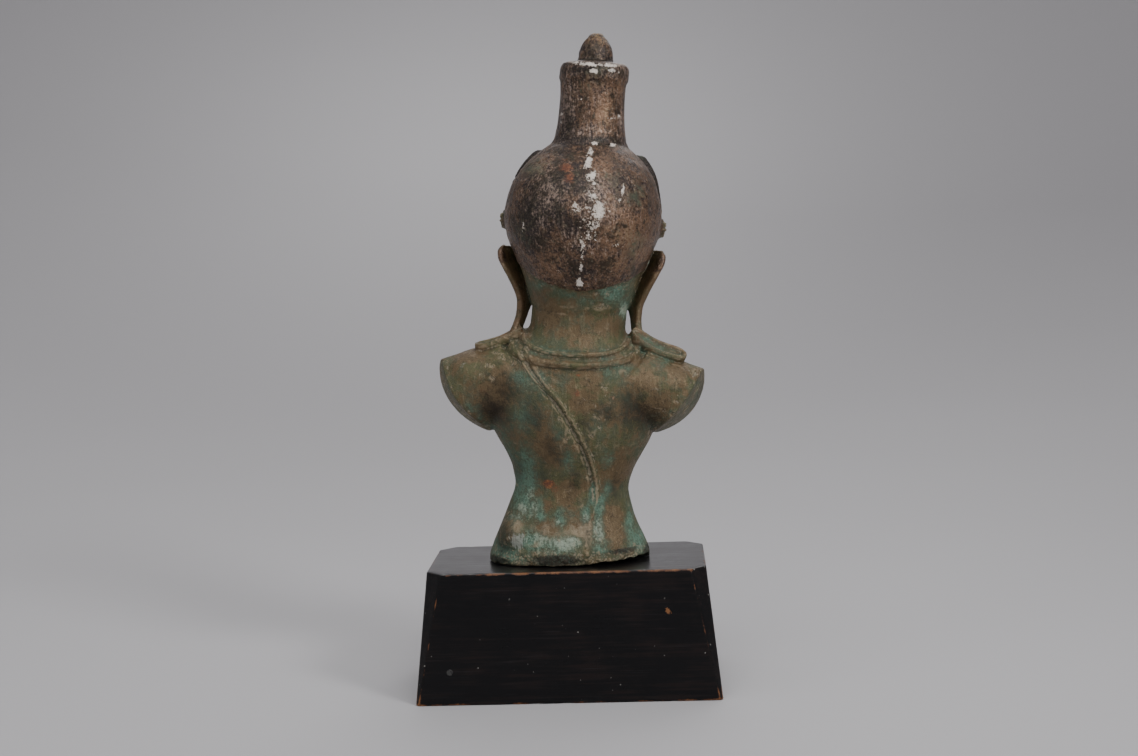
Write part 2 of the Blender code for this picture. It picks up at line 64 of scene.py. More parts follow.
# Rows of height, then where the figure's middle stands, as it leans to its right.
SPINE = (
    (-20, -0.8),
    (20, -1.3),
    (40, -2.8),
    (56, -4.7),
    (80, -6.6),
    (110, -5.8),
    (130, -6.6),
    (150, -9.6),
    (166, -12.4),
    (184, -14.5),
    (226, -17.3),
    (254, -19.7),
    (270, -21.9),
    (290, -24.8),
    (314, -26.9),
    (330, -28.2),
    (345, -30.2),
    (370, -32.6),
)
# Rows of height, then how far a level line is turned there, in degrees.
LEAN = ((-20, 0.0), (10, 0.0), (50, 2.2), (110, 3.2), (170, 5.2), (400, 5.2))

# Rows of height, half width, depth to the front and depth to the back.
TRUNK = (
    (-6, 57.2, 33.5, 35.5),
    (4, 56.9, 33.5, 35.5),
    (12, 54.3, 32.5, 34.5),
    (24, 48.9, 31.5, 32.0),
    (38, 43.8, 29.5, 29.0),
    (52, 40.2, 28.5, 27.5),
    (64, 42.7, 30.5, 29.5),
    (76, 48.2, 34.5, 33.0),
    (86, 53.8, 37.5, 36.0),
    (98, 59.0, 40.0, 38.2),
    (112, 62.5, 41.5, 39.6),
    (124, 64.0, 41.0, 39.8),
    (135, 62.0, 37.5, 38.5),
    (146, 53.0, 32.5, 36.5),
    (154, 41.5, 28.5, 34.0),
    (160, 35.5, 26.5, 32.3),
    (166, 33.4, 25.5, 31.5),
    (174, 33.3, 24.5, 31.5),
    (196, 32.0, 22.0, 30.0),
)
HEAD = (
    (170, 30.0, 20.0, 27.0),
    (173, 31.2, 27.0, 31.0),
    (176, 32.6, 37.0, 32.5),
    (179, 33.8, 43.0, 33.8),
    (184, 35.4, 46.2, 35.9),
    (191, 37.8, 47.6, 39.9),
    (200, 41.0, 48.5, 44.8),
    (210, 45.2, 48.5, 49.2),
    (219, 49.0, 49.5, 52.0),
    (230, 52.8, 51.8, 54.4),
    (240, 54.2, 51.6, 55.2),
    (250, 53.2, 49.6, 54.2),
    (259, 50.8, 46.4, 51.6),
    (268, 47.2, 41.6, 47.0),
    (276, 42.0, 35.4, 41.0),
    (283, 35.2, 29.2, 34.4),
    (289, 28.0, 24.0, 28.0),
    (294, 20.0, 18.0, 20.0),
)
# Rows of height and radius.
TOPKNOT = (
    (282, 26.0),
    (288, 27.4),
    (290.5, 27.0),
    (294, 25.2),
    (298, 24.5),
    (306, 23.4),
    (314, 22.9),
    (324, 22.6),
    (330, 22.8),
    (333.6, 23.2),
    (335.6, 24.2),
    (341.6, 24.2),
    (345, 23.0),
    (347, 20.0),
    (348, 12.6),
    (353.5, 11.8),
    (358, 10.4),
    (362, 8.2),
    (365.4, 5.6),
    (367.6, 3.0),
)
# Rows of height, then x and y of the ear's front edge and of its back edge.
EAR = (
    (218, 51.5, -8.0, 56.0, 1.0),
    (214.5, 48.5, -12.0, 57.8, 3.0),
    (209, 45.8, -15.0, 57.0, 5.5),
    (203, 42.5, -16.0, 53.8, 6.5),
    (196, 39.0, -14.0, 49.8, 5.5),
    (188, 36.2, -11.0, 45.8, 4.0),
    (180, 35.0, -8.0, 43.0, 3.0),
    (172, 37.0, -5.0, 42.6, 3.5),
    (164, 39.0, -2.0, 44.0, 6.0),
    (155, 41.5, 1.0, 46.5, 10.0),
)
EAR_RIM = 3.0
EAR_HOLLOW = 1.3
EAR_BACKING = 2.4
# The right ear was cast a little longer: how far its top is lifted, and from which height on.
RIGHT_EAR_LIFT = 3.0
RIGHT_EAR_LIFT_FROM = 180

# Each lobe ends in a loop: its line over the shoulder, its length on each side.
LOOP_LINE = ((38, 161), (45, 157.0), (52, 153.0), (60, 149.8), (69, 147.4), (80, 144.5))
LOOP_REACH_LEFT = 69.5
LOOP_REACH_RIGHT = 78.5
LOOP_RISE_RIGHT = 3.0
LOOP_TILT_LEFT = math.radians(8)
LOOP_TILT_RIGHT = math.radians(38)
LOOP_HALF_WIDTH = 6.6
LOOP_RIM = 2.6
LOOP_WEB = 0.6
LOOP_BACKING = 4.0
LOOP_SET_BACK = 8.0

# Each arm runs outwards and down from the shoulder, to a cut that bulges.
ARM_SLOPE = math.radians(35.3)
ARM_ROOT = (36, 0, 128)
CUT_CENTRE_LEFT = (76.3, 0, 113.3)
CUT_CENTRE_RIGHT = (75.5, 0, 115.0)
ARM_HALF_HEIGHT_AT_CUT = 29.5
ARM_HALF_DEPTH_AT_CUT = 25.0
ARM_HALF_HEIGHT_AT_ROOT = 29.0
ARM_HALF_DEPTH_AT_ROOT = 35.0
CUT_BULGE = 8.5
CUT_DOME = 1.5
CUT_TURN = math.radians(14)
# Rows of the shoulder: distance from the spine, height of its top, half depth, half height.
SHOULDER = (
    (20, 155, 30, 27),
    (36, 153.2, 31, 27),
    (52, 150.2, 30, 25),
    (68, 146.5, 28, 20),
    (79, 142.5, 24, 14),
    (86, 138.5, 17, 7),
)

HIP_CENTRE = (30, 8.5, 17)
HIP_RADII = (20.5, 20.5, 19)

# The necklace: the height of its two rolls at the back, side and front.
NECKLACE_UPPER = (147.5, 159.5, 149.0)
NECKLACE_LOWER = (140.4, 154.0, 141.0)
NECKLACE_UPPER_RADIUS = 1.9
NECKLACE_LOWER_RADIUS = 2.5

# The robe's hem, as x and height, on the back and on the front.
HEM_BACK = (
    (33.5, 149.5),
    (20, 130.5),
    (5.4, 113),
    (-6.5, 90.3),
    (-13, 72),
    (-17.8, 54),
    (-18.6, 45),
    (-17.0, 36),
    (-15.0, 26),
    (-13.6, 14),
    (-13.2, 4),
)
HEM_FRONT = ((33, 153), (26, 140), (12, 124), (-8, 107.5), (-30, 94), (-47, 86))
HEM_RADIUS = 1.4

# The diadem's band and its leaves: azimuth from the face, tip height, half width.
BAND_HEIGHT_FRONT = 243.5
BAND_HEIGHT_SIDE = 238.0
BAND_HALF_HEIGHT = 4.0
BAND_RELIEF_FRONT = 2.4
BAND_RELIEF_SIDE = 1.2
BAND_END = math.radians(94)
LEAVES = ((0, 292, 12.5), (37, 290, 12.0), (70, 287, 11.0))
LEAF_FOOT = 244
LEAF_BELLY = 0.25
LEAF_RELIEF_AT_FOOT = 1.3
LEAF_RELIEF_AT_TIP = 9.5
LEAF_CURL = 3
ROSETTE_AZIMUTH = math.radians(86)
ROSETTE_HEIGHT = 235.5
ROSETTE_RADIUS = 6.5
ROSETTE_RELIEF = 3.2
HAIRLINE_NAPE = 191.5
HAIRLINE_SIDE = 206
HAIRLINE_REACH = 1.2
HAIR_RELIEF = 1.0

# The face has plain, usual proportions. Rows of height, how far the nose stands out, its half width.
NOSE = (
    (194, 0, 6.5),
    (197, 1.5, 6.4),
    (199, 7.8, 6.3),
    (201.5, 11.2, 6.2),
    (204, 10.9, 5.8),
    (210, 8.6, 4.6),
    (218, 5.1, 4.2),
    (226, 2.4, 5.2),
    (236, 0, 7.0),
)
# Swellings and hollows: distance from the middle, half width, height, half height, relief.
MOUNDS = (
    ("wings of the nose", 7.6, 3.0, 200.8, 2.9, 5.0),
    ("eye sockets", 17.5, 10.5, 218.5, 7.0, -5.2),
    ("eyeballs", 18.0, 10.0, 215.0, 5.0, 4.4),
    ("cheeks", 25.0, 12.0, 201.0, 12.0, 1.8),
    ("muzzle", 0.0, 17.0, 190.5, 8.0, 2.4),
    ("chin", 0.0, 9.0, 180.5, 4.5, 2.6),
    ("mark between the brows", 0.0, 2.0, 232.0, 2.0, 1.3),
)
# The relief of the face fades out over this depth, from the figure's middle forwards.
FACE_FADES_OVER = 14
BROW_TOP = (17, 231.5)
BROW_CURVE = 0.034
BROW_RADIUS = 2.4
BROW_RELIEF = 1.7
MOUTH_HEIGHT = 190.3
MOUTH_HALF_WIDTH = 13.0
MOUTH_CORNER_RISE = 1.8
LIP_DROP = 2.8
LIP_RADIUS = 2.3
LIP_RELIEF = 2.6
LIP_LINE_RADIUS = 0.9
LIP_LINE_DEPTH = 1.8

# Fine work that only the skin has. The figure's own units are used here too.
SQUARENESS = 2.15
EYE_DISTANCE = 18.0
EYE_HALF_WIDTH = 9.6
EYE_SLIT_HEIGHT = 211.8
EYE_SLIT_CURVE = 0.020
LID_CREASE_HEIGHT = 220.0
LID_CREASE_CURVE = 0.034
LEAF_VEIN_SPACING = 4.6
PEARL_RADIUS = 1.55
PEARL_SPACING = 3.5
PEARL_STAND = 2.0
PEARL_MARGIN = math.radians(9)
PETALS = 9
PETAL_RADIUS = 1.6
PETAL_RING = 4.4
PETAL_STAND = 2.8
NECK_FOLDS = (158.5, 163.0, 167.5)
CHEST = (25, 112)
CHEST_SPREAD = (21, 15)
CHEST_FOLD_HEIGHT = 95
CHEST_POINT = (-27, 110)
NAVEL_HEIGHT = 41
SOFTENING_ROUNDS = 36
HEM_FADES_FROM = 54
HEM_FADES_TO = 40
HEM_RADIUS_AT_FOOT = 0.2
HEM_RIDGES_MEET = 112
HEM_GROOVE = 0.55
ROBE_LIFT_BACK = 1.1
ROBE_LIFT_FRONT = 0.7
# The hem on the back and in front: its rows, the way it faces, the robe's side of it and the robe's lift.
HEMS = ((HEM_BACK, 1, -1, ROBE_LIFT_BACK), (HEM_FRONT, -1, 1, ROBE_LIFT_FRONT))
BREAK_FROM = -4.0
BREAK_RISE = math.radians(4.2)
BREAK_FRONT = 4.0
# A lump of metal at the right edge of the foot.
LUMP = (-56.5, 11.0, 4.5)
LUMP_RADIUS = 3.6
# The pale crust beside the right ear: where it starts, as x and height, and how it runs down.
EAR_CRUST = (-53.5, 223.0)
EAR_CRUST_SLANT = 0.5
EAR_CRUST_LENGTH = 22.0


def curve_through(rows):
    """A function of the first column that gives the others, smooth and with no overshoot."""
    table = np.array(rows, float)
    table = table[np.argsort(table[:, 0])]
    at, values = table[:, 0], table[:, 1:]
    step = np.diff(at)[:, None]
    slope = np.diff(values, axis=0) / step
    tangent = np.zeros_like(values)
    tangent[0], tangent[-1] = slope[0], slope[-1]
    before, after = slope[:-1], slope[1:]
    same_way = before * after > 0
    sum_of_both = np.where(same_way, before + after, 1.0)
    tangent[1:-1] = np.where(same_way, 2 * before * after / sum_of_both, 0.0)

    def value(x):
        x = np.clip(np.asarray(x, float), at[0], at[-1])
        i = np.clip(np.searchsorted(at, x, side="right") - 1, 0, len(at) - 2)
        h = step[i, 0][..., None]
        t = ((x - at[i]) / step[i, 0])[..., None]
        return (
            values[i] * (2 * t**3 - 3 * t**2 + 1)
            + tangent[i] * h * (t**3 - 2 * t**2 + t)
            + values[i + 1] * (3 * t**2 - 2 * t**3)
            + tangent[i + 1] * h * (t**3 - t**2)
        )

    return value


def step_between(low, high, x):
    """0 up to the low value and 1 from the high one, with a soft step between."""
    t = np.clip((x - low) / (high - low), 0, 1)
    return t * t * (3 - 2 * t)


def hump(x, centre, width, power=2):
    """1 at the centre and 0 well off it; a higher power gives a flatter top and steeper sides."""
    return np.exp(-(np.abs((x - centre) / width) ** power))


def full_turn(sides):
    return np.linspace(0, 2 * np.pi, sides, endpoint=False)


trunk_at = curve_through(TRUNK)
head_at = curve_through(HEAD)
spine_at = curve_through(SPINE)
turn_at = curve_through(LEAN)


def leaned(points):
    """Points of the upright figure, in parts, moved to where the leaning bust has them, in metres."""
    x, y, height = np.asarray(points, float).T
    lean = np.radians(turn_at(height)[..., 0])
    spine = spine_at(height)[..., 0]
    placed = np.stack([spine + x * np.cos(lean), y, height + x * np.sin(lean)], axis=1) * PART
    placed[:, 2] += SEAT
    return placed


def upright(points, rounds=6):
    """The reverse of leaned, nearer with each round."""
    x, y, z = (np.asarray(points, float) - [0, 0, SEAT]).T / PART
    height = z.copy()
    for _ in range(rounds):
        lean = np.radians(turn_at(height)[..., 0])
        across = (x - spine_at(height)[..., 0]) / np.cos(lean)
        height = z - across * np.sin(lean)
    return across, y, height


# The grid of the random lumps: its size, its shift, and the turn that keeps its rows from showing.
LATTICE = 32
LATTICE_SHIFT = 7.3
ASKEW = np.array(Euler((0.7, 0.5, 0.9)).to_matrix())


def grain(points, size, seed):
    """Smooth random numbers from -1 to 1 at the points, in lumps of the size given."""
    lattice = np.random.default_rng(seed).uniform(-1, 1, (LATTICE, LATTICE, LATTICE))
    place = np.asarray(points, float) @ ASKEW / size + LATTICE_SHIFT
    base = np.floor(place).astype(int)
    part = place - base
    part = part * part * (3 - 2 * part)
    total = np.zeros(len(place))
    for corner in range(8):
        offset = np.array([corner & 1, corner >> 1 & 1, corner >> 2 & 1])
        cell = (base + offset) % LATTICE
        share = np.where(offset == 1, part, 1 - part).prod(axis=1)
        total += share * lattice[cell[:, 0], cell[:, 1], cell[:, 2]]
    return total


def layered_grain(points, size, seed, layers=3):
    """Lumps that carry smaller lumps, mostly from -1 to 1."""
    total = sum(grain(points, size / 2**i, seed + i) / 2**i for i in range(layers))
    return total / 1.5


class Clay:
    """Closed forms that will be joined into one skin."""

    def __init__(self):
        self.points = []
        self.faces = []
        self.count = 0

    def loft(self, rings, closed=False):
        """Adds rings of as many points each, with flat ends unless the rings themselves close."""
        rings = np.asarray(rings)
        rows, sides = rings.shape[:2]
        index = self.count + np.arange(rows * sides).reshape(rows, sides)
        near = index if closed else index[:-1]
        far = np.roll(index, -1, axis=0) if closed else index[1:]
        quads = np.stack([near, np.roll(near, -1, 1), np.roll(far, -1, 1), far], axis=2).reshape(-1, 4)
        self.faces.extend(quads.tolist())
        if not closed:
            self.faces.append(index[0][::-1].tolist())
            self.faces.append(index[-1].tolist())
        self.points.append(rings.reshape(-1, 3))
        self.count += rows * sides

    def take(self, mesh):
        """Adds the points and faces of a mesh."""
        self.points.append(np.array([vertex.co for vertex in mesh.vertices]))
        self.faces.extend([[self.count + i for i in face.vertices] for face in mesh.polygons])
        self.count += len(mesh.vertices)

    def roll(self, line, radius, closed, sides=12):
        """A round roll along a line of points of the upright figure."""
        line = np.asarray(line, float)
        radius = np.broadcast_to(radius, len(line))
        if closed:
            ahead, behind = np.roll(line, -1, axis=0), np.roll(line, 1, axis=0)
        else:
            ahead, behind = np.vstack([line[1:], line[-1:]]), np.vstack([line[:1], line[:-1]])
        along = ahead - behind
        along /= np.linalg.norm(along, axis=1)[:, None]
        outward = line * [1, 1, 0]
        outward -= (outward * along).sum(1)[:, None] * along
        outward /= np.linalg.norm(outward, axis=1)[:, None]
        beside = np.cross(along, outward)
        angle = full_turn(sides)
        cos, sin = np.cos(angle)[:, None], np.sin(angle)[:, None]
        rows = zip(line, radius, outward, beside)
        self.loft([leaned(centre + r * (cos * out + sin * side)) for centre, r, out, side in rows], closed)


def oval(half_width, front, back, angle):
    """x and y of an oval section, where angle 0 is +X and a quarter turn is the back."""
    cos, sin = np.cos(angle), np.sin(angle)
    x = half_width * np.sign(cos) * np.abs(cos) ** (2 / SQUARENESS)
    y = np.where(sin > 0, back, front) * np.sign(sin) * np.abs(sin) ** (2 / SQUARENESS)
    return x, y


def level_ring(x, y, height):
    """A level section of the upright figure, placed on the leaning bust."""
    return leaned(np.stack([x, y, np.full(len(x), height)], 1))


def shape_trunk(clay, sides=160, rows=160):
    rings = []
    for height in np.linspace(0.3, TRUNK[-1][0], rows):
        x, y = oval(*trunk_at(height), full_turn(sides))
        rings.append(level_ring(x, y, height))
    clay.loft(rings)


def face_relief(x, height):
    """How far the face stands forward of the plain head, in parts."""
    across = np.abs(x)
    nose, nose_half_width = curve_through(NOSE)(height).T
    relief = nose * hump(x, 0, nose_half_width, 2.4)
    for _, distance, half_width, level, half_height, rise in MOUNDS:
        relief += rise * hump(across, distance, half_width) * hump(height, level, half_height)
    brow_line = BROW_TOP[1] - BROW_CURVE * (across - BROW_TOP[0]) ** 2
    relief += BROW_RELIEF * hump(height, brow_line, BROW_RADIUS) * hump(across, BROW_TOP[0], BROW_TOP[0], 4)
    mouth_line = MOUTH_HEIGHT + MOUTH_CORNER_RISE * (across / MOUTH_HALF_WIDTH) ** 2
    for lip_side in (1, -1):
        lip_line = mouth_line + LIP_DROP * lip_side
        relief += LIP_RELIEF * hump(height, lip_line, LIP_RADIUS) * hump(across, 0, MOUTH_HALF_WIDTH, 4)
    between_lips = hump(height, mouth_line, LIP_LINE_RADIUS) * hump(across, 0, MOUTH_HALF_WIDTH, 6)
    return relief - LIP_LINE_DEPTH * between_lips


def band_height_at(azimuth):
    return BAND_HEIGHT_SIDE + (BAND_HEIGHT_FRONT - BAND_HEIGHT_SIDE) * np.cos(azimuth / 2) ** 6


def leaf_at(leaf, azimuth, height, girth):
    """How far up a leaf each point lies, how far beside its rib, and how far inside its outline."""
    leaf_azimuth, tip, half_width = leaf
    rise = np.clip((height - LEAF_FOOT) / (tip - LEAF_FOOT), 0, 1)
    outline = half_width * (1 - rise**3) * (1 + LEAF_BELLY * np.sin(np.pi * rise))
    beside = np.abs(azimuth - math.radians(leaf_azimuth)) * girth
    return rise, beside, outline - beside


def from_rosette(azimuth, height, girth):
    return np.hypot((azimuth - ROSETTE_AZIMUTH) * girth, height - ROSETTE_HEIGHT)


def crown_relief(azimuth, height, girth):
    """How far the diadem stands off the head, in parts. Azimuth 0 is the front."""
    relief = BAND_RELIEF_SIDE + (BAND_RELIEF_FRONT - BAND_RELIEF_SIDE) * np.cos(azimuth / 2) ** 4
    relief = relief * hump(height, band_height_at(azimuth), BAND_HALF_HEIGHT, 6)
    relief *= 1 - step_between(BAND_END - 0.05, BAND_END, azimuth)
    for leaf in LEAVES:
        rise, _, within = leaf_at(leaf, azimuth, height, girth)
        inside = step_between(0, 1.6, within) * (height < leaf[1]) * (height > LEAF_FOOT - 3)
        depth = LEAF_RELIEF_AT_FOOT + (LEAF_RELIEF_AT_TIP - LEAF_RELIEF_AT_FOOT) * rise**LEAF_CURL
        relief = np.maximum(relief, depth * inside)
    away = from_rosette(azimuth, height, girth)
    return np.maximum(relief, ROSETTE_RELIEF * hump(away, 0, ROSETTE_RADIUS, 4))


def above_hairline(azimuth, height, softness=1.0):
    """1 on the hair, 0 on the skin. The line dips at the nape."""
    from_nape = np.clip((np.pi - azimuth) / HAIRLINE_REACH, 0, 1)
    line = HAIRLINE_NAPE + (HAIRLINE_SIDE - HAIRLINE_NAPE) * from_nape**1.5
    return step_between(line - softness, line + softness, height) * step_between(1.4, 1.8, azimuth)


def shape_head(clay, sides=360, rows=260):
    rings = []
    for height in np.linspace(HEAD[0][0], HEAD[-1][0], rows):
        x, y = oval(*head_at(height), full_turn(sides))
        girth = np.hypot(x, y)
        azimuth = np.arctan2(np.abs(x), -y)
        heights = np.full(sides, height)
        proud = crown_relief(azimuth, heights, girth) + HAIR_RELIEF * above_hairline(azimuth, heights)
        grow = 1 + proud / girth
        y = y * grow - face_relief(x, heights) * step_between(0, FACE_FADES_OVER, -y)
        rings.append(level_ring(x * grow, y, height))
    clay.loft(rings)


def shape_topknot(clay, sides=120):
    radius_at = curve_through(TOPKNOT)
    angle = full_turn(sides)
    rings = []
    for height in np.linspace(TOPKNOT[0][0], TOPKNOT[-1][0], 180):
        radius = float(radius_at(height)[0])
        rings.append(level_ring(radius * np.cos(angle), radius * np.sin(angle), height))
    clay.loft(rings)


def rimmed_strip(start, end, solid_way, rim, hollow, backing, points=24):
    """A section from start to end: a flat back, and a face with a round rim at each edge."""
    start, end, solid_way = (np.asarray(v, float) for v in (start, end, solid_way))
    across = np.cos(np.linspace(np.pi, 0, points))
    rounding = np.sqrt(np.clip(1 - across**8, 0.05, 1))
    face = (hollow + (rim - hollow) * step_between(0.38, 0.62, np.abs(across))) * rounding
    line = (start + end) / 2 + across[:, None] * (end - start) / 2
    hollow_side = line - face[:, None] * solid_way
    solid_side = line + backing * rounding[:, None] * solid_way
    return np.vstack([hollow_side, solid_side[::-1]])


def shape_ear(clay, side):
    ear_at = curve_through(EAR)
    top = EAR[0][0]
    rings = []
    for height in np.linspace(EAR[-1][0], top, 80):
        front_x, front_y, back_x, back_y = ear_at(height)
        inward = np.array([front_y - back_y, back_x - front_x, 0.0])
        inward /= np.linalg.norm(inward)
        taper = 1 - 0.5 * step_between(top - 5, top, height)
        front, back = (front_x, front_y, height), (back_x, back_y, height)
        ring = rimmed_strip(front, back, inward, EAR_RIM * taper, EAR_HOLLOW * taper, EAR_BACKING * taper)
        ring[:, 0] *= side
        if side < 0:
            ring[:, 2] += RIGHT_EAR_LIFT * step_between(RIGHT_EAR_LIFT_FROM, top, height)
        rings.append(leaned(ring))
    clay.loft(rings)


def shape_loop(clay, side, reach, rise, tilt):
    """The end of the lobe, a flat channel that lies along the shoulder."""
    line_at = curve_through(LOOP_LINE)
    start = LOOP_LINE[0][0]
    width_way = np.array([0.0, math.cos(tilt), -math.sin(tilt)])
    rings = []
    for share in np.sin(np.linspace(0, np.pi / 2, 60)):
        out = start + (reach - start) * share
        height = float(line_at(out)[0])
        along = np.array([1.0, 0.0, float(line_at(out + 1)[0]) - height])
        down = -np.cross(along / np.linalg.norm(along), width_way)
        half_width = LOOP_HALF_WIDTH * math.sqrt(max(0.03, 1 - (2 * share - 1) ** 6))
        centre = np.array([out, LOOP_SET_BACK, height + rise])
        near, far = centre - half_width * width_way, centre + half_width * width_way
        web = LOOP_WEB + (LOOP_RIM - LOOP_WEB) * float(step_between(0.9, 0.97, share))
        ring = rimmed_strip(near, far, down, LOOP_RIM, web, LOOP_BACKING + rise)
        ring[:, 0] *= side
        rings.append(leaned(ring))
    clay.loft(rings)


def shape_shoulder(clay, side, sides=90):
    """The mass of the shoulder, hung below its top line."""
    angle = full_turn(sides)
    rings = []
    shoulder_at = curve_through(SHOULDER)
    for out in np.linspace(SHOULDER[0][0], SHOULDER[-1][0], 50):
        top, half_depth, half_height = shoulder_at(out)
        y = half_depth * np.cos(angle)
        height = top - half_height + half_height * np.sin(angle)
        rings.append(leaned(np.stack([np.full(sides, side * out), y, height], 1)))
    clay.loft(rings)


ARM_UP = np.array([math.sin(ARM_SLOPE), 0.0, math.cos(ARM_SLOPE)])
ARM_OUT = np.array([math.cos(ARM_SLOPE), 0.0, -math.sin(ARM_SLOPE)])


def shape_arm(clay, side, cut_centre, sides=110):
    """A short arm that ends in a cut, bulging and turned a little towards the back."""
    angle = full_turn(sides)
    root, cut = np.array(ARM_ROOT, float), np.array(cut_centre, float)
    rings = []
    along_arm = [(share, 1) for share in np.linspace(0, 1, 24)]
    over_cut = [(1, size) for size in np.linspace(0.95, 0.05, 19)]
    for share, size in along_arm + over_cut:
        half_height = ARM_HALF_HEIGHT_AT_ROOT + (ARM_HALF_HEIGHT_AT_CUT - ARM_HALF_HEIGHT_AT_ROOT) * share
        half_depth = ARM_HALF_DEPTH_AT_ROOT + (ARM_HALF_DEPTH_AT_CUT - ARM_HALF_DEPTH_AT_ROOT) * share
        up, deep = size * half_height * np.sin(angle), size * half_depth * np.cos(angle)
        bulge = CUT_BULGE * (1 - (up / ARM_HALF_HEIGHT_AT_CUT) ** 2) + CUT_DOME * (1 - size**2)
        out = share * (bulge - deep * math.tan(CUT_TURN))
        ring = root + (cut - root) * share + np.outer(up, ARM_UP) + np.outer(out, ARM_OUT)
        ring[:, 0] *= side
        ring[:, 1] += deep
        rings.append(leaned(ring))
    clay.loft(rings)


def shape_hip(clay, sides=64, rows=40):
    angle = full_turn(sides)
    rings = []
    for tip in np.linspace(-0.98, 0.98, rows) * np.pi / 2:
        level = np.full(sides, math.sin(tip))
        ball = np.stack([np.cos(angle) * math.cos(tip), np.sin(angle) * math.cos(tip), level], 1)
        ball = ball * HIP_RADII + HIP_CENTRE
        ball[:, 2] = np.maximum(ball[:, 2], 0.3)
        rings.append(leaned(ball))
    clay.loft(rings)


def on_trunk(angle, height):
    """The point of the trunk's surface at an angle of its section."""
    x, y = oval(*trunk_at(height), angle)
    return np.array([float(x), float(y), float(height)])


def shape_necklace(clay, heights, radius, points=240):
    back, side, front = heights
    line = []
    for angle in full_turn(points):
        end = back if math.sin(angle) > 0 else front
        line.append(on_trunk(angle, side + (end - side) * abs(math.sin(angle)) ** 1.4))
    clay.roll(line, radius, closed=True)


def hem_line(rows, facing, points):
    """Points on the trunk along the robe's hem: on the back where facing is 1, else on the front."""
    x_at = curve_through([(height, x) for x, height in rows])
    heights = np.linspace(rows[0][1], rows[-1][1], points)
    across = x_at(heights)[:, 0]
    half_width, front, back = trunk_at(heights).T
    share = np.minimum(np.abs(across) / half_width, 1)
    depth = (1 - share**SQUARENESS) ** (1 / SQUARENESS) * (back if facing > 0 else front) * facing
    return np.stack([across, depth, heights], 1)


def shape_hem(clay, rows, facing, radius_at_foot):
    line = hem_line(rows, facing, 200)
    fade = step_between(HEM_FADES_FROM, HEM_FADES_TO, line[:, 2])
    clay.roll(line, HEM_RADIUS + (radius_at_foot - HEM_RADIUS) * fade, closed=False)


def on_head(azimuth, height, proud):
    """The point that stands proud of the head's plain oval, at an azimuth from the face."""
    half_width, front, back = head_at(height)
    sin, cos = math.sin(azimuth), math.cos(azimuth)
    depth = front if cos > 0 else back
    reach = (abs(sin / half_width) ** SQUARENESS + abs(cos / depth) ** SQUARENESS) ** (-1 / SQUARENESS)
    return (reach + proud) * sin, -(reach + proud) * cos, height


def bead_string_tree():
    """A tree that sets beads along a line, evenly spaced and of slightly uneven size."""
    tree = bpy.data.node_groups.new("beads_along_a_line", "GeometryNodeTree")
    face = tree.interface
    face.new_socket("Line", in_out="INPUT", socket_type="NodeSocketGeometry")
    for name, kind, value in (
        ("Spacing", "NodeSocketFloat", 0.0034),
        ("Bead radius", "NodeSocketFloat", 0.0015),
        ("Unevenness", "NodeSocketFloat", 0.08),
        ("Seed", "NodeSocketInt", 5),
    ):
        face.new_socket(name, in_out="INPUT", socket_type=kind).default_value = value
    face.new_socket("Finish", in_out="INPUT", socket_type="NodeSocketMaterial")
    face.new_socket("Beads", in_out="OUTPUT", socket_type="NodeSocketGeometry")

    def node(kind, links=(), **settings):
        made = tree.nodes.new(kind)
        for key, value in settings.items():
            setattr(made, key, value)
        for socket, source in links:
            if isinstance(source, (int, float)):
                made.inputs[socket].default_value = source
            else:
                tree.links.new(source, made.inputs[socket])
        return made

    given = node("NodeGroupInput").outputs
    string = node("GeometryNodeMeshToCurve", [("Mesh", given["Line"])])
    stops = node(
        "GeometryNodeResampleCurve",
        [("Curve", string.outputs["Curve"]), ("Length", given["Spacing"])],
        mode="LENGTH",
    )
    ball = node("GeometryNodeMeshIcoSphere", [("Radius", given["Bead radius"]), ("Subdivisions", 2)])
    smallest = node("ShaderNodeMath", [(0, 1.0), (1, given["Unevenness"])], operation="SUBTRACT")
    largest = node("ShaderNodeMath", [(0, 1.0), (1, given["Unevenness"])], operation="ADD")
    size = node(
        "FunctionNodeRandomValue",
        [(2, smallest.outputs[0]), (3, largest.outputs[0]), ("Seed", given["Seed"])],
        data_type="FLOAT",
    )
    beads = node(
        "GeometryNodeInstanceOnPoints",
        [
            ("Points", stops.outputs["Curve"]),
            ("Instance", ball.outputs["Mesh"]),
            ("Scale", size.outputs[1]),
        ],
    )
    real = node("GeometryNodeRealizeInstances", [("Geometry", beads.outputs["Instances"])])
    finished = node(
        "GeometryNodeSetMaterial", [("Geometry", real.outputs["Geometry"]), ("Material", given["Finish"])]
    )
    node("NodeGroupOutput", [("Beads", finished.outputs["Geometry"])])
    return tree


def shape_beads(clay, tree, line, closed, spacing, radius, finish):
    """Beads along a line of points of the upright figure."""
    mesh = bpy.data.meshes.new("bead_line")
    count = len(line)
    edges = [(i, (i + 1) % count) for i in range(count if closed else count - 1)]
    mesh.from_pydata(leaned(line), edges, [])
    beads = object_of("bead_line", mesh)
    modifier = beads.modifiers.new("beads", "NODES")
    modifier.node_group = tree
    wanted = {"Spacing": spacing * PART, "Bead radius": radius * PART, "Finish": finish}
    for item in tree.interface.items_tree:
        if item.in_out == "INPUT" and item.name in wanted:
            modifier[item.identifier] = wanted[item.name]
    plain_mesh_from(beads)
    clay.take(beads.data)
    bpy.data.objects.remove(beads)


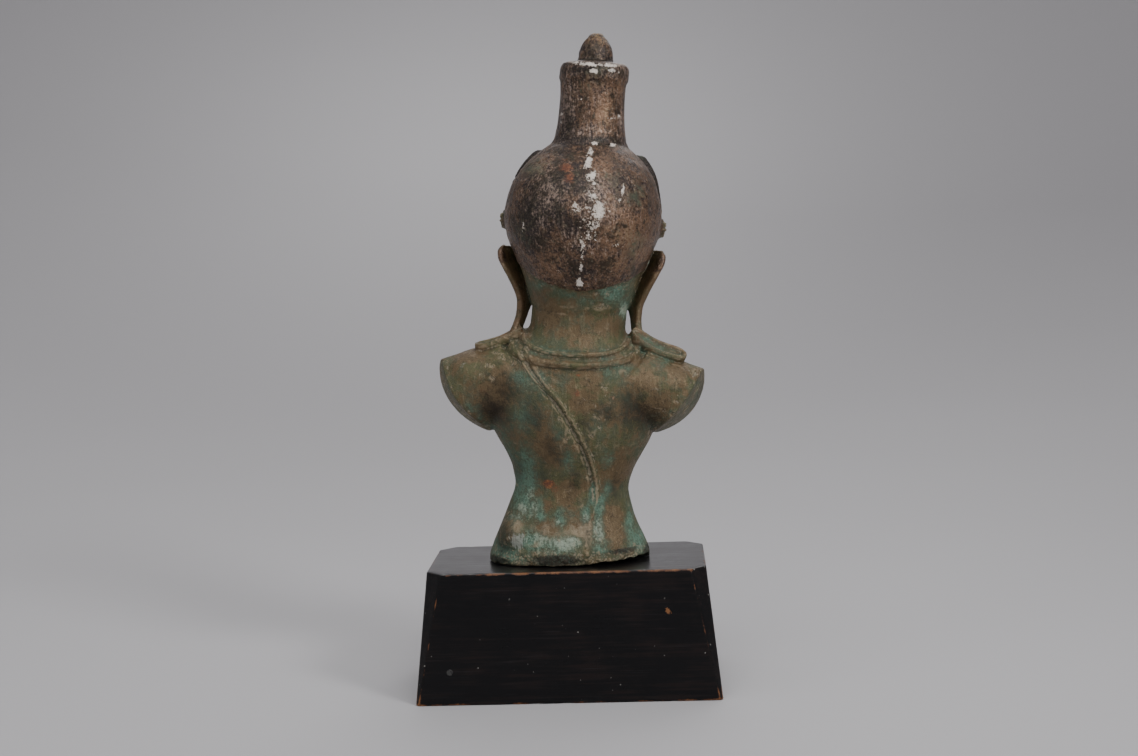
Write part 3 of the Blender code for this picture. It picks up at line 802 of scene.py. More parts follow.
def shape_diadem_beads(clay, tree, finish):
    """Pearls along the diadem's band, and petals round the rosette at each of its ends."""
    azimuths = np.linspace(-BAND_END + PEARL_MARGIN, BAND_END - PEARL_MARGIN, 200)
    pearls = [on_head(a, float(band_height_at(abs(a))), PEARL_STAND) for a in azimuths]
    shape_beads(clay, tree, pearls, False, PEARL_SPACING, PEARL_RADIUS, finish)
    girth = math.hypot(*on_head(ROSETTE_AZIMUTH, ROSETTE_HEIGHT, 0)[:2])
    for side in (1, -1):
        petals = []
        for turn in full_turn(48):
            azimuth = side * (ROSETTE_AZIMUTH + PETAL_RING * math.cos(turn) / girth)
            petals.append(on_head(azimuth, ROSETTE_HEIGHT + PETAL_RING * math.sin(turn), PETAL_STAND))
        spacing = 2 * math.pi * PETAL_RING / PETALS
        shape_beads(clay, tree, petals, True, spacing, PETAL_RADIUS, finish)


class Skin:
    """A mesh as arrays: its points, its triangles, and the edges between them."""

    def __init__(self, mesh):
        self.points = np.empty(len(mesh.vertices) * 3)
        mesh.vertices.foreach_get("co", self.points)
        self.points = self.points.reshape(-1, 3)
        mesh.calc_loop_triangles()
        self.triangles = np.empty(len(mesh.loop_triangles) * 3, np.int64)
        mesh.loop_triangles.foreach_get("vertices", self.triangles)
        self.triangles = self.triangles.reshape(-1, 3)
        self.edges = np.empty(len(mesh.edges) * 2, np.int64)
        mesh.edges.foreach_get("vertices", self.edges)
        self.edges = self.edges.reshape(-1, 2)
        self.valence = np.bincount(self.edges.ravel(), minlength=len(self.points)).astype(float)

    def neighbours_mean(self, values):
        """The mean of a value, or of a point, over each point's neighbours."""
        columns = values.reshape(len(self.points), -1)
        start, end = self.edges.T
        mean = np.empty_like(columns)
        for i in range(columns.shape[1]):
            column = columns[:, i]
            total = np.bincount(start, column[end], len(column))
            total += np.bincount(end, column[start], len(column))
            mean[:, i] = total / self.valence
        return mean.reshape(values.shape)

    def relax(self, weight, rounds):
        for _ in range(rounds):
            pull = self.neighbours_mean(self.points) - self.points
            self.points += weight[:, None] * pull

    def blurred(self, values, rounds):
        for _ in range(rounds):
            values = 0.5 * values + 0.5 * self.neighbours_mean(values)
        return values

    def normals(self):
        corners = self.points[self.triangles]
        face = np.cross(corners[:, 1] - corners[:, 0], corners[:, 2] - corners[:, 0])
        total = np.zeros_like(self.points)
        for corner in range(3):
            for axis in range(3):
                total[:, axis] += np.bincount(self.triangles[:, corner], face[:, axis], len(self.points))
        return total / np.maximum(np.linalg.norm(total, axis=1), 1e-12)[:, None]

    def hollowness(self, rounds):
        """How deep each point lies in a hollow, in metres. It is negative on a ridge."""
        pull = self.blurred(self.points.copy(), rounds) - self.points
        return (pull * self.normals()).sum(axis=1)

    def write(self, mesh):
        mesh.vertices.foreach_set("co", self.points.astype(np.float32).ravel())
        mesh.update()


def object_of(name, mesh):
    made = bpy.data.objects.new(name, mesh)
    bpy.context.scene.collection.objects.link(made)
    return made


def plain_mesh_from(thing):
    """Keeps the mesh that the object's modifiers give, and removes them."""
    seen = thing.evaluated_get(bpy.context.evaluated_depsgraph_get())
    result = bpy.data.meshes.new_from_object(seen)
    old = thing.data
    thing.modifiers.clear()
    thing.data = result
    bpy.data.meshes.remove(old)


def with_modifier_applied(thing, kind, **settings):
    modifier = thing.modifiers.new(kind.lower(), kind)
    for key, value in settings.items():
        setattr(modifier, key, value)
    plain_mesh_from(thing)


def model_clay(finish):
    clay = Clay()
    shape_trunk(clay)
    shape_head(clay)
    shape_topknot(clay)
    shape_hip(clay)
    shape_loop(clay, 1, LOOP_REACH_LEFT, 0, LOOP_TILT_LEFT)
    shape_loop(clay, -1, LOOP_REACH_RIGHT, LOOP_RISE_RIGHT, LOOP_TILT_RIGHT)
    for side, cut_centre in ((1, CUT_CENTRE_LEFT), (-1, CUT_CENTRE_RIGHT)):
        shape_ear(clay, side)
        shape_shoulder(clay, side)
        shape_arm(clay, side, cut_centre)
    shape_necklace(clay, NECKLACE_UPPER, NECKLACE_UPPER_RADIUS)
    shape_necklace(clay, NECKLACE_LOWER, NECKLACE_LOWER_RADIUS)
    shape_hem(clay, HEM_BACK, 1, HEM_RADIUS_AT_FOOT)
    shape_hem(clay, HEM_FRONT, -1, HEM_RADIUS)
    shape_diadem_beads(clay, bead_string_tree(), finish)
    return clay


def beyond_cut(x, y, height):
    """How far each point lies beyond the face of the arm's cut, along the arm."""
    centre = np.where(x[:, None] > 0, CUT_CENTRE_LEFT, CUT_CENTRE_RIGHT)
    offset = np.stack([np.abs(x), np.zeros_like(x), height], 1) - centre
    up, along = offset @ ARM_UP, offset @ ARM_OUT
    bulge = CUT_BULGE * (1 - (up / ARM_HALF_HEIGHT_AT_CUT) ** 2)
    return along - bulge + y * math.tan(CUT_TURN)


def softening(x, y, height):
    """How much each point is relaxed where the forms were joined."""
    across = np.abs(x)
    near_cut = hump(beyond_cut(x, y, height), 0, 5.0, 4) * (across > 45)
    off_top = np.maximum(step_between(16, 19, y), step_between(4, 8, -y)) * step_between(38, 44, across)
    highest = 136 + 20 * off_top
    shoulders = step_between(84, 96, height) * (1 - step_between(highest - 6, highest, height))
    shoulders *= step_between(24, 34, across)
    hip = 0.2 * step_between(4, 10, height) * (1 - step_between(38, 44, height))
    hip *= step_between(-4, 8, x) * (y > -6)
    neck = hump(height, 171, 5) * step_between(-5, 5, y) * (across < 36)
    return np.clip(shoulders * (1 - near_cut) + hip + neck, 0, 1)


def spot(x, height, row):
    """1 in the middle of a spot, given as x, height, half width and half height, and 0 well off it."""
    centre_x, centre_height, half_width, half_height = row[:4]
    return np.exp(-(((x - centre_x) / half_width) ** 2) - ((height - centre_height) / half_height) ** 2)


def beside_ear(x, y, height):
    """How thick the crust in the angle between the head and the right ear is, from 0 to 1."""
    down = EAR_CRUST[1] - height
    along = step_between(0, 4, down) * (1 - step_between(EAR_CRUST_LENGTH - 5, EAR_CRUST_LENGTH, down))
    near = step_between(-1, 1, y) * (1 - step_between(5, 12, y))
    return hump(x, EAR_CRUST[0] + EAR_CRUST_SLANT * down, 3.0) * along * near


def spots(x, height, rows):
    """The strongest of many spots; a fifth number in a row is its strength."""
    total = np.zeros_like(x)
    for row in rows:
        total = np.maximum(total, spot(x, height, row) * (row[4] if len(row) > 4 else 1))
    return total


def face_lines(x, height):
    """The fine lines of the face: lids, brows, nostrils, wings of the nose and the outline of the lips."""
    across = np.abs(x)
    from_eye = across - EYE_DISTANCE
    lid_width = hump(from_eye, 0, EYE_HALF_WIDTH, 6)
    slit = EYE_SLIT_HEIGHT + EYE_SLIT_CURVE * from_eye**2
    crease = LID_CREASE_HEIGHT - LID_CREASE_CURVE * from_eye**2
    relief = -1.1 * hump(height, slit, 0.75) * lid_width
    relief += 0.7 * hump(height, slit + 1.7, 1.0) * lid_width
    relief += 0.5 * hump(height, slit - 1.8, 0.9) * lid_width
    relief -= 0.8 * hump(height, crease, 0.8) * hump(from_eye, 0, EYE_HALF_WIDTH + 1, 6)
    brow = BROW_TOP[1] - BROW_CURVE * (across - BROW_TOP[0]) ** 2
    brow_width = hump(across, BROW_TOP[0] + 1, BROW_TOP[0] - 1.5, 6)
    relief += (0.7 * hump(height, brow, 0.9) - 0.6 * hump(height, brow - 2.3, 0.8)) * brow_width
    relief -= 1.6 * hump(across, 4.0, 1.6) * hump(height, 197.4, 1.4)
    from_wing = np.hypot(across - 6.4, height - 200.8)
    relief -= 0.7 * hump(from_wing, 4.4, 0.8) * (across > 6) * (height > 197.5)
    relief -= 0.6 * hump(x, 0, 1.4) * hump(height, 195.2, 1.8)
    mouth = MOUTH_HEIGHT + MOUTH_CORNER_RISE * (across / MOUTH_HALF_WIDTH) ** 2
    upper_edge = mouth + 5.0 - 1.1 * hump(x, 0, 2.2) - 0.022 * across**2
    lower_edge = mouth - 5.2 + 0.024 * across**2
    lip_width = hump(across, 0, MOUTH_HALF_WIDTH, 8)
    relief -= 0.45 * (hump(height, upper_edge, 0.7) + hump(height, lower_edge, 0.8)) * lip_width
    relief -= 0.9 * hump(np.hypot(across - MOUTH_HALF_WIDTH - 0.6, height - mouth - 0.2), 0, 1.5)
    return relief


def crown_lines(azimuth, height, girth):
    """The diadem's fillets, the veins and borders of its leaves, and the eye of each rosette."""
    from_band = height - band_height_at(azimuth)
    on_band = 1 - step_between(BAND_END - 0.06, BAND_END - 0.02, azimuth)
    relief = 0.55 * hump(np.abs(from_band), BAND_HALF_HEIGHT - 0.7, 0.75) * on_band
    relief -= 0.5 * hump(np.abs(from_band), 2.0, 0.5) * on_band
    for leaf in LEAVES:
        rise, beside, within = leaf_at(leaf, azimuth, height, girth)
        on_leaf = (within > 0) * (height > LEAF_FOOT + 2) * (height < leaf[1] - 1)
        border = 0.7 * hump(within, 1.5, 0.8) - 0.6 * hump(within, 3.2, 0.8)
        rib = 0.8 * hump(beside, 0, 0.9) * (1 - rise)
        veins = 0.45 * np.cos(2 * np.pi * (height - LEAF_FOOT - 0.9 * beside) / LEAF_VEIN_SPACING)
        inner = step_between(3.6, 5.0, within) * step_between(0.8, 1.8, beside)
        relief += (border + rib + veins * inner) * on_leaf
    away = from_rosette(azimuth, height, girth)
    return relief + 1.3 * hump(away, 0, 1.9) - 0.5 * hump(away, 2.6, 0.6)


def ear_lines(x, y, height):
    """The folds inside the ear and the long slit of its lobe, on the side that faces outwards."""
    across = np.abs(x)
    front_x, front_y, back_x, back_y = curve_through(EAR)(height).T
    run_x, run_y = back_x - front_x, back_y - front_y
    width = np.hypot(run_x, run_y)
    share = ((across - front_x) * run_x + (y - front_y) * run_y) / width**2
    depth = ((across - front_x) * (front_y - back_y) + (y - front_y) * run_x) / width
    outer = (share > 0.02) * (share < 0.98) * step_between(0.8, -0.2, depth) * (depth > -5)
    outer = outer * (height > EAR[-1][0]) * (height < EAR[0][0] + 1) * (across > 33)
    upper = step_between(193, 197, height)
    fold = 0.9 * hump(share, 0.56 + 0.012 * (height - 205), 0.10) * upper
    bowl = -0.8 * hump(np.hypot((share - 0.36) * width, height - 201.5), 0, 3.4)
    front_lobe = 1.0 * hump(np.hypot((share - 0.14) * width, height - 200.5), 0, 1.9)
    slit = -0.9 * hump(share, 0.5, 0.14)
    slit *= step_between(166, 170, height) * (1 - step_between(188, 192, height))
    return (fold + bowl + front_lobe + slit) * outer


def body_lines(x, y, height):
    """Folds of the neck, the chest and the navel."""
    across = np.abs(x)
    in_front = step_between(2, 12, -y)
    relief = np.zeros_like(x)
    for fold in NECK_FOLDS:
        line = fold + 2.0 * (across / 30) ** 2
        relief -= 0.6 * hump(height, line, 0.8) * (across < 36)
    from_chest, above_chest = across - CHEST[0], height - CHEST[1]
    swelling = np.hypot(from_chest / CHEST_SPREAD[0], above_chest / CHEST_SPREAD[1])
    relief += 1.4 * hump(swelling, 0, 1, 3)
    under_chest = CHEST_FOLD_HEIGHT + 0.012 * from_chest**2
    relief -= 0.8 * hump(height, under_chest, 2.5) * hump(from_chest, 0, CHEST_SPREAD[0] - 2, 4)
    relief += 0.8 * hump(np.hypot(x - CHEST_POINT[0], height - CHEST_POINT[1]), 0, 2.4, 4)
    relief -= 1.4 * hump(np.hypot(x, height - NAVEL_HEIGHT), 0, 2.6)
    return relief * in_front


def hem_lines(x, y, height, rows, facing, robe_side, lift):
    """How the robe lies beside its hem, and on the back the hem's second ridge and its flat lower end."""
    x_at = curve_through([(level, place) for place, level in rows])
    place = x_at(height)[:, 0]
    slant = x_at(height + 1)[:, 0] - place
    beside = (x - place) / np.hypot(1, slant) * robe_side
    lowest, highest = rows[-1][1], rows[0][1]
    here = step_between(lowest - 4, lowest + 4, height) * (1 - step_between(highest - 6, highest, height))
    here *= step_between(0, 10, y * facing) * (np.abs(x) < trunk_at(height)[:, 0] + 2)
    slope = lift * step_between(-0.6, 1.8, beside) * np.exp(-np.clip(beside, 0, None) / 9)
    relief = slope - HEM_GROOVE * hump(beside, -2.9, 1.4)
    if facing > 0:
        kept = step_between(HEM_FADES_TO, HEM_FADES_FROM + 10, height)
        apart = -(1.2 + 3.6 * step_between(HEM_RIDGES_MEET, 142, height))
        relief = relief * kept + 1.1 * hump(beside, 0, 3.2) * (1 - kept)
        relief += 0.8 * hump(beside, apart, 1.2) * step_between(HEM_RIDGES_MEET, 122, height)
    return relief * here


def cast_surface(points, x, y, height):
    """The unevenness of the old casting, in parts: broad waves, small lumps, pits and a crusty foot."""
    place = points / PART
    waves = 0.32 * layered_grain(place, 26, 3) + 0.10 * layered_grain(place, 7, 9)
    pitted = step_between(-0.1, 0.5, grain(place, 24, 33))
    pits = -0.35 * step_between(0.52, 0.8, grain(place, 2.6, 21)) * pitted
    calm = 1 - 0.75 * step_between(6, 18, -y) * step_between(174, 180, height) * (height < 240)
    bud = step_between(347, 349, height)
    rough_bud = bud * (0.35 + 0.5 * step_between(362, 366, height)) * layered_grain(place, 3.2, 41)
    foot = 1 - step_between(5, 13, height + 3 * grain(place, 6, 55))
    crust = foot * step_between(8, 14, y) * (0.2 + 1.3 * layered_grain(place, 3.8, 61))
    lump = 2.2 * hump(np.hypot(np.hypot(x - LUMP[0], y - LUMP[1]), height - LUMP[2]), 0, LUMP_RADIUS, 4)
    ear_crust = beside_ear(x, y, height) * (0.5 + 0.8 * layered_grain(place, 2.2, 71))
    nicked = np.abs(beyond_cut(x, y, height)) < 4
    nicks = -0.8 * nicked * (np.abs(x) > 50) * step_between(0.45, 0.75, grain(place, 5, 81))
    hammered = step_between(190, 196, height) * step_between(0, 12, y) * (1 - bud)
    hammered *= 0.42 * layered_grain(place, 8.0, 15) + 0.30 * layered_grain(place, 3.4, 17)
    return waves * calm + pits * calm + hammered + rough_bud + crust + lump + ear_crust + nicks


def broken_foot(points, x, y):
    """How high the broken lower edge stands off the plinth, in parts."""
    place = points / PART
    at_back = step_between(BREAK_FRONT - 1, BREAK_FRONT + 5, y)
    gap = np.clip(BREAK_FROM - x, 0, None) * math.tan(BREAK_RISE) * at_back
    half_width, front, back = TRUNK[1][1:]
    from_middle = np.hypot(x / half_width, y / np.where(y > 0, back, front))
    at_rim = step_between(0.72, 0.9, from_middle)
    ragged = 0.5 + 1.1 * layered_grain(place * [1, 1, 0.3], 8, 91)
    ragged *= at_rim * (0.4 + 0.6 * at_back)
    return np.clip(gap * (1 + 0.22 * grain(place, 5, 95)) + ragged, 0, None)


def carve(skin):
    """Draws the fine forms on the skin by moving its points along their normals."""
    x, y, height = upright(skin.points)
    across = np.abs(x)
    azimuth = np.arctan2(across, -y)
    girth = np.hypot(x, y)
    on_head_here = step_between(172, 176, height) * (1 - step_between(292, 295, height)) * (across < 64)
    in_front = step_between(4, 16, -y)
    relief = face_lines(x, height) * in_front * on_head_here * (1 - step_between(236, 240, height))
    relief += crown_lines(azimuth, height, girth) * on_head_here * step_between(228, 231, height)
    relief += ear_lines(x, y, height)
    below_chin = 1 - step_between(168, 172, height)
    relief += body_lines(x, y, height) * below_chin
    for hem in HEMS:
        relief += hem_lines(x, y, height, *hem) * below_chin
    relief += cast_surface(skin.points, x, y, height)
    skin.points += skin.normals() * (relief * PART)[:, None]
    lowest = broken_foot(skin.points, x, y) * PART + SEAT
    skin.points[:, 2] = np.maximum(skin.points[:, 2], lowest)
    skin.points = np.clip(skin.points, np.array(bust_low), np.array(bust_high) - 0.02 * MM)


# Where the patina lies. Each row is x and height of a spot, its half width and height, and its strength.
GREEN_BEHIND = (
    (32, 73, 7, 14, 0.6),
    (31, 56, 7, 14, 0.9),
    (30, 41, 8, 10, 1.0),
    (20, 37, 5, 10, 0.9),
    (6, 33, 4, 8, 0.8),
    (-12, 35, 4, 7, 1.0),
    (22, 19, 12, 8, 1.15),
    (6, 15, 11, 6, 1.0),
    (-4, 18, 8, 5, 1.0),
    (-21, 40, 4, 9, 0.9),
    (-22, 25, 5, 12, 1.0),
    (-23, 12, 6, 6, 0.7),
    (-16, 51, 3, 9, 0.9),
    (37, 50, 5, 16, 0.8),
    (2, 74, 5, 12, 0.6),
    (-25, 73, 5, 9, 0.7),
    (-26, 56, 4, 9, 0.7),
    (-43, 27, 3, 12, 0.6),
    (-48, 14, 7, 7, 0.7),
    (35, 128, 8, 8, 0.51),
    (58, 130, 12, 7, 0.35),
    (20, 129, 5, 9, 0.4),
    (2, 129, 6, 6, 0.32),
    (-24, 135, 9, 7, 0.37),
    (-61, 143, 9, 5, 0.27),
    (-19, 98, 8, 15, 0.37),
    (10, 92, 5, 14, 0.43),
    (32, 99, 9, 13, 0.32),
    (42, 8, 12, 8, 0.7),
    (-23, 191, 8, 8, 1.0),
    (-31, 179, 5, 10, 0.9),
    (9, 187, 8, 4, 0.45),
    (-5, 185, 6, 4, 0.5),
    (29, 193, 7, 4, 0.5),
)
BROWN_BEHIND = (
    (18, 87, 11, 13, 0.8),
    (4, 50, 9, 9, 1.0),
    (14, 41, 6, 4, 0.8),
    (16, 26, 8, 5, 0.9),
    (-8, 25, 6, 6, 0.9),
    (-34, 65, 8, 10, 1.0),
    (-31, 31, 6, 11, 1.0),
    (-35, 20, 5, 6, 0.8),
    (73, 143, 9, 5, 0.9),
    (54, 120, 10, 9, 0.9),
    (55, 108, 8, 9, 1.0),
    (-14, 131, 8, 9, 0.8),
    (15, 141, 10, 5, 0.8),
    (-52, 131, 10, 9, 0.9),
    (-59, 111, 10, 12, 1.0),
    (-75, 140, 7, 6, 0.9),
    (-8, 116, 8, 9, 0.9),
    (-45, 145, 12, 4, 0.7),
    (19, 171, 9, 9, 0.9),
    (-20, 168, 9, 8, 0.9),
    (3, 162, 13, 6, 0.7),
)
PALE_BEHIND = (
    (24, 38, 4, 9, 0.9),
    (9, 31, 4, 7, 0.8),
    (16, 30, 3, 6, 0.7),
    (-2, 35, 3, 8, 0.7),
    (0, 19, 16, 11, 1.1),
    (-14, 22, 8, 14, 1.1),
    (36, 28, 9, 14, 0.9),
    (24, 26, 7, 5, 0.8),
    (-12, 33, 4, 6, 0.8),
    (16, 20, 12, 8, 0.9),
    (-12, 14, 8, 8, 0.8),
    (-22, 24, 5, 12, 1.0),
    (28, 22, 8, 8, 0.6),
    (-31, 178, 4, 8, 0.9),
    (-20, 167, 9, 8, 0.5),
    (-45, 8, 10, 5, 0.8),
    (14, 10, 14, 6, 0.8),
    (33, 37, 7, 6, 1.0),
    (27, 48, 5, 7, 0.8),
    (-8, 80, 5, 12, 0.4),
    (18, 92, 8, 5, 0.4),
)
GREEN_BEFORE = (
    (-34, 60, 9, 22, 0.9),
    (34, 46, 9, 20, 0.8),
    (10, 20, 22, 8, 0.9),
    (-20, 118, 12, 9, 0.7),
    (30, 124, 12, 8, 0.7),
    (4, 84, 9, 14, 0.6),
    (-24, 172, 10, 9, 0.8),
    (26, 186, 8, 9, 0.7),
    (-30, 222, 7, 8, 0.6),
    (8, 178, 10, 4, 0.6),
    (36, 208, 7, 10, 0.5),
)
BROWN_BEFORE = (
    (0, 204, 9, 14, 0.9),
    (24, 203, 12, 9, 0.7),
    (-24, 203, 12, 9, 0.7),
    (0, 60, 18, 20, 0.8),
    (-28, 108, 14, 10, 0.6),
    (28, 104, 14, 10, 0.8),
    (0, 232, 30, 6, 0.6),
    (55, 116, 12, 12, 0.8),
    (-57, 116, 12, 12, 0.8),
)
PLASTER = (
    (-12.0, 247, 4.8, 6.8, 1.05),
    (-7.0, 256, 3.8, 4.6, 0.8),
    (-10.5, 238, 2.8, 5.0, 0.85),
    (-1.2, 278, 2.8, 5.6, 1.05),
    (-5.0, 269.5, 4.0, 3.8, 1.05),
    (-2.0, 286, 2.4, 3.6, 0.9),
    (-3.6, 291.4, 2.8, 1.4, 1.0),
    (-16.6, 291.4, 2.8, 1.6, 1.1),
    (-27.0, 261, 1.3, 5.5, 0.95),
    (-24.5, 254.5, 2.6, 1.3, 0.8),
    (-2.2, 221, 1.8, 8.0, 0.9),
    (-1.6, 207, 1.5, 5.0, 0.85),
    (-6.5, 229, 2.4, 4.0, 0.75),
    (-9.5, 236, 3.2, 6.0, 0.62),
    (-0.4, 197.5, 3.0, 4.0, 1.15),
    (20.4, 311, 1.3, 1.7, 0.9),
    (20.6, 305, 1.0, 1.3, 0.7),
    (-14.5, 309, 3.4, 1.1, 0.8),
    (-19.0, 311, 1.3, 1.5, 0.7),
    (7.2, 321, 2.0, 2.8, 0.75),
    (39.0, 231.7, 0.9, 4.2, 0.85),
    (-7, 246, 12, 38, 0.38),
    (4, 248, 4, 8, 0.5),
    (-27, 224, 6, 2, 0.5),
    (14, 204, 3, 2, 0.5),
)
PLASTER_ON_FLANGE = (
    (4, 344.6, 9, 1.5, 1.0),
    (-10, 344.9, 8, 1.4, 0.95),
    (0, 340.2, 3.5, 2.0, 0.9),
    (-13, 341.0, 4.5, 2.0, 0.75),
    (12, 345.6, 6, 1.0, 0.7),
)
SMEARED = (
    (43, 122, 12, 16, 0.7),
    (5, 136, 16, 10, 0.35),
    (38, 62, 6, 14, 0.5),
    (55, 110, 9, 9, 0.9),
    (25, 105, 9, 16, 0.7),
    (12, 80, 9, 15, 0.7),
    (20, 62, 8, 10, 0.6),
    (-24, 108, 10, 9, 0.7),
    (-42, 112, 10, 12, 1.0),
    (-10, 100, 6, 14, 0.6),
    (-2, 58, 6, 16, 0.5),
    (-30, 52, 6, 12, 0.5),
    (44, 20, 7, 14, 0.8),
    (-14, 21, 3, 12, 0.6),
)
RUST = (
    (12.8, 274, 5.4, 3.4, 1.0),
    (10.0, 267, 4.4, 5.0, 0.8),
    (14.5, 279, 3.5, 2.0, 0.5),
    (8, 299, 4, 2, 0.45),
    (-3.4, 198.6, 3.2, 1.8, 0.6),
    (-5.6, 122, 3.0, 3.2, 1.0),
    (-6.0, 134, 1.8, 2.0, 0.8),
    (15.0, 56.5, 5.2, 3.4, 1.1),
    (11, 53, 3.2, 3.4, 0.8),
    (9, 71, 3.5, 3, 0.5),
    (-30, 118, 4, 5, 0.4),
    (60, 122, 5, 5, 0.45),
    (24, 10, 4, 2.5, 0.5),
)
WORN_PATCH = ((35.0, 17.0, 7.5, 6.5, 1.1), (75, 136, 2.4, 2.4, 0.7))
DARK_CRUST = (
    (8, 4.5, 22, 5.0, 1.0),
    (-38, 8.5, 16, 3.0, 0.8),
    (-56.5, 4.5, 4.5, 5.5, 1.2),
    (50, 3, 12, 4, 0.8),
    (47, 11, 6, 9, 0.55),
)
# Dark spots on the lacquered head. Most are its own dark lacquer; the spot at x 33 and height 240 is
# painted shade on the head's left side.
BLACKENED_AND_SHADED = (
    (10, 262, 22, 14, 0.7),
    (33, 240, 9, 24, 0.9),
    (18, 244, 13, 12, 0.9),
    (-6, 208, 24, 10, 0.4),
    (6, 236, 12, 7, 0.7),
    (-22, 268, 10, 10, 0.5),
    (16, 300, 6, 18, 0.8),
    (-4, 294, 20, 3, 0.7),
    (0, 355, 12, 11, 0.7),
    (3, 341, 20, 4, 0.7),
)
BROWN_ON_HEAD = (
    (-11, 312, 9, 14, 0.9),
    (-18, 331, 8, 8, 0.6),
    (-30, 232, 15, 13, 0.9),
    (-22, 211, 15, 8, 0.8),
    (-14, 273, 10, 9, 0.6),
    (-44, 216, 7, 12, 0.8),
    (20, 208, 12, 9, 0.6),
    (30, 274, 9, 8, 0.6),
    (8, 252, 8, 10, 0.5),
    (0, 359, 9, 10, 0.5),
)
SCUFFED = (
    (22, 258, 12, 14, 0.9),
    (17, 316, 5, 18, 0.9),
    (-19, 306, 5, 10, 0.6),
    (0, 300, 16, 5, 0.6),
    (-8, 260, 9, 13, 0.8),
    (-14, 246, 12, 10, 0.7),
    (30, 238, 9, 11, 0.5),
    (0, 226, 14, 8, 0.5),
    (-12, 342, 14, 5, 0.6),
)
GREEN_ON_HEAD = (
    (36, 272, 12, 9, 0.9),
    (-36, 258, 7, 12, 0.8),
    (-20, 268, 9, 10, 0.6),
    (40, 226, 9, 12, 0.6),
    (-38, 222, 9, 14, 0.8),
    (-2, 338, 8, 8, 0.6),
    (5, 328, 12, 9, 0.35),
    (6, 272, 5, 8, 0.5),
)


# White flecks lie thinly all round the large white spots.
WHITE_FLECKS = ((-6, 245, 20, 34, 0.55),)
# The grains that break up the patina, from broad to fine, as size and seed.
PATINA_GRAINS = ((34, 101), (12, 111), (4.5, 121))
# Shade is painted under each arm: its middle, as distance from the middle and height, and its radius.
ARMPIT = (52, 103)
ARMPIT_RADIUS = 14


def from_head(x, y, height):
    """How far each point stands off the head's plain oval, in parts."""
    half_width, front, back = head_at(height).T
    share = np.abs(x / half_width) ** SQUARENESS + np.abs(y / np.where(y > 0, back, front)) ** SQUARENESS
    return np.hypot(x, y) * (1 - share ** (-1 / SQUARENESS))


def lacquered(x, y, height):
    """1 on the lacquered head and topknot, 0 on the bronze below them."""
    across = np.abs(x)
    hair = above_hairline(np.arctan2(across, -y), height, 0.8) * (across < 60)
    return np.maximum(hair, step_between(247, 249, height))


def on_ears(x, y, height):
    at_ears = (np.abs(x) > 33) * (from_head(x, y, height) > 3.5)
    return at_ears * step_between(150, 156, height) * (1 - step_between(222, 224, height))


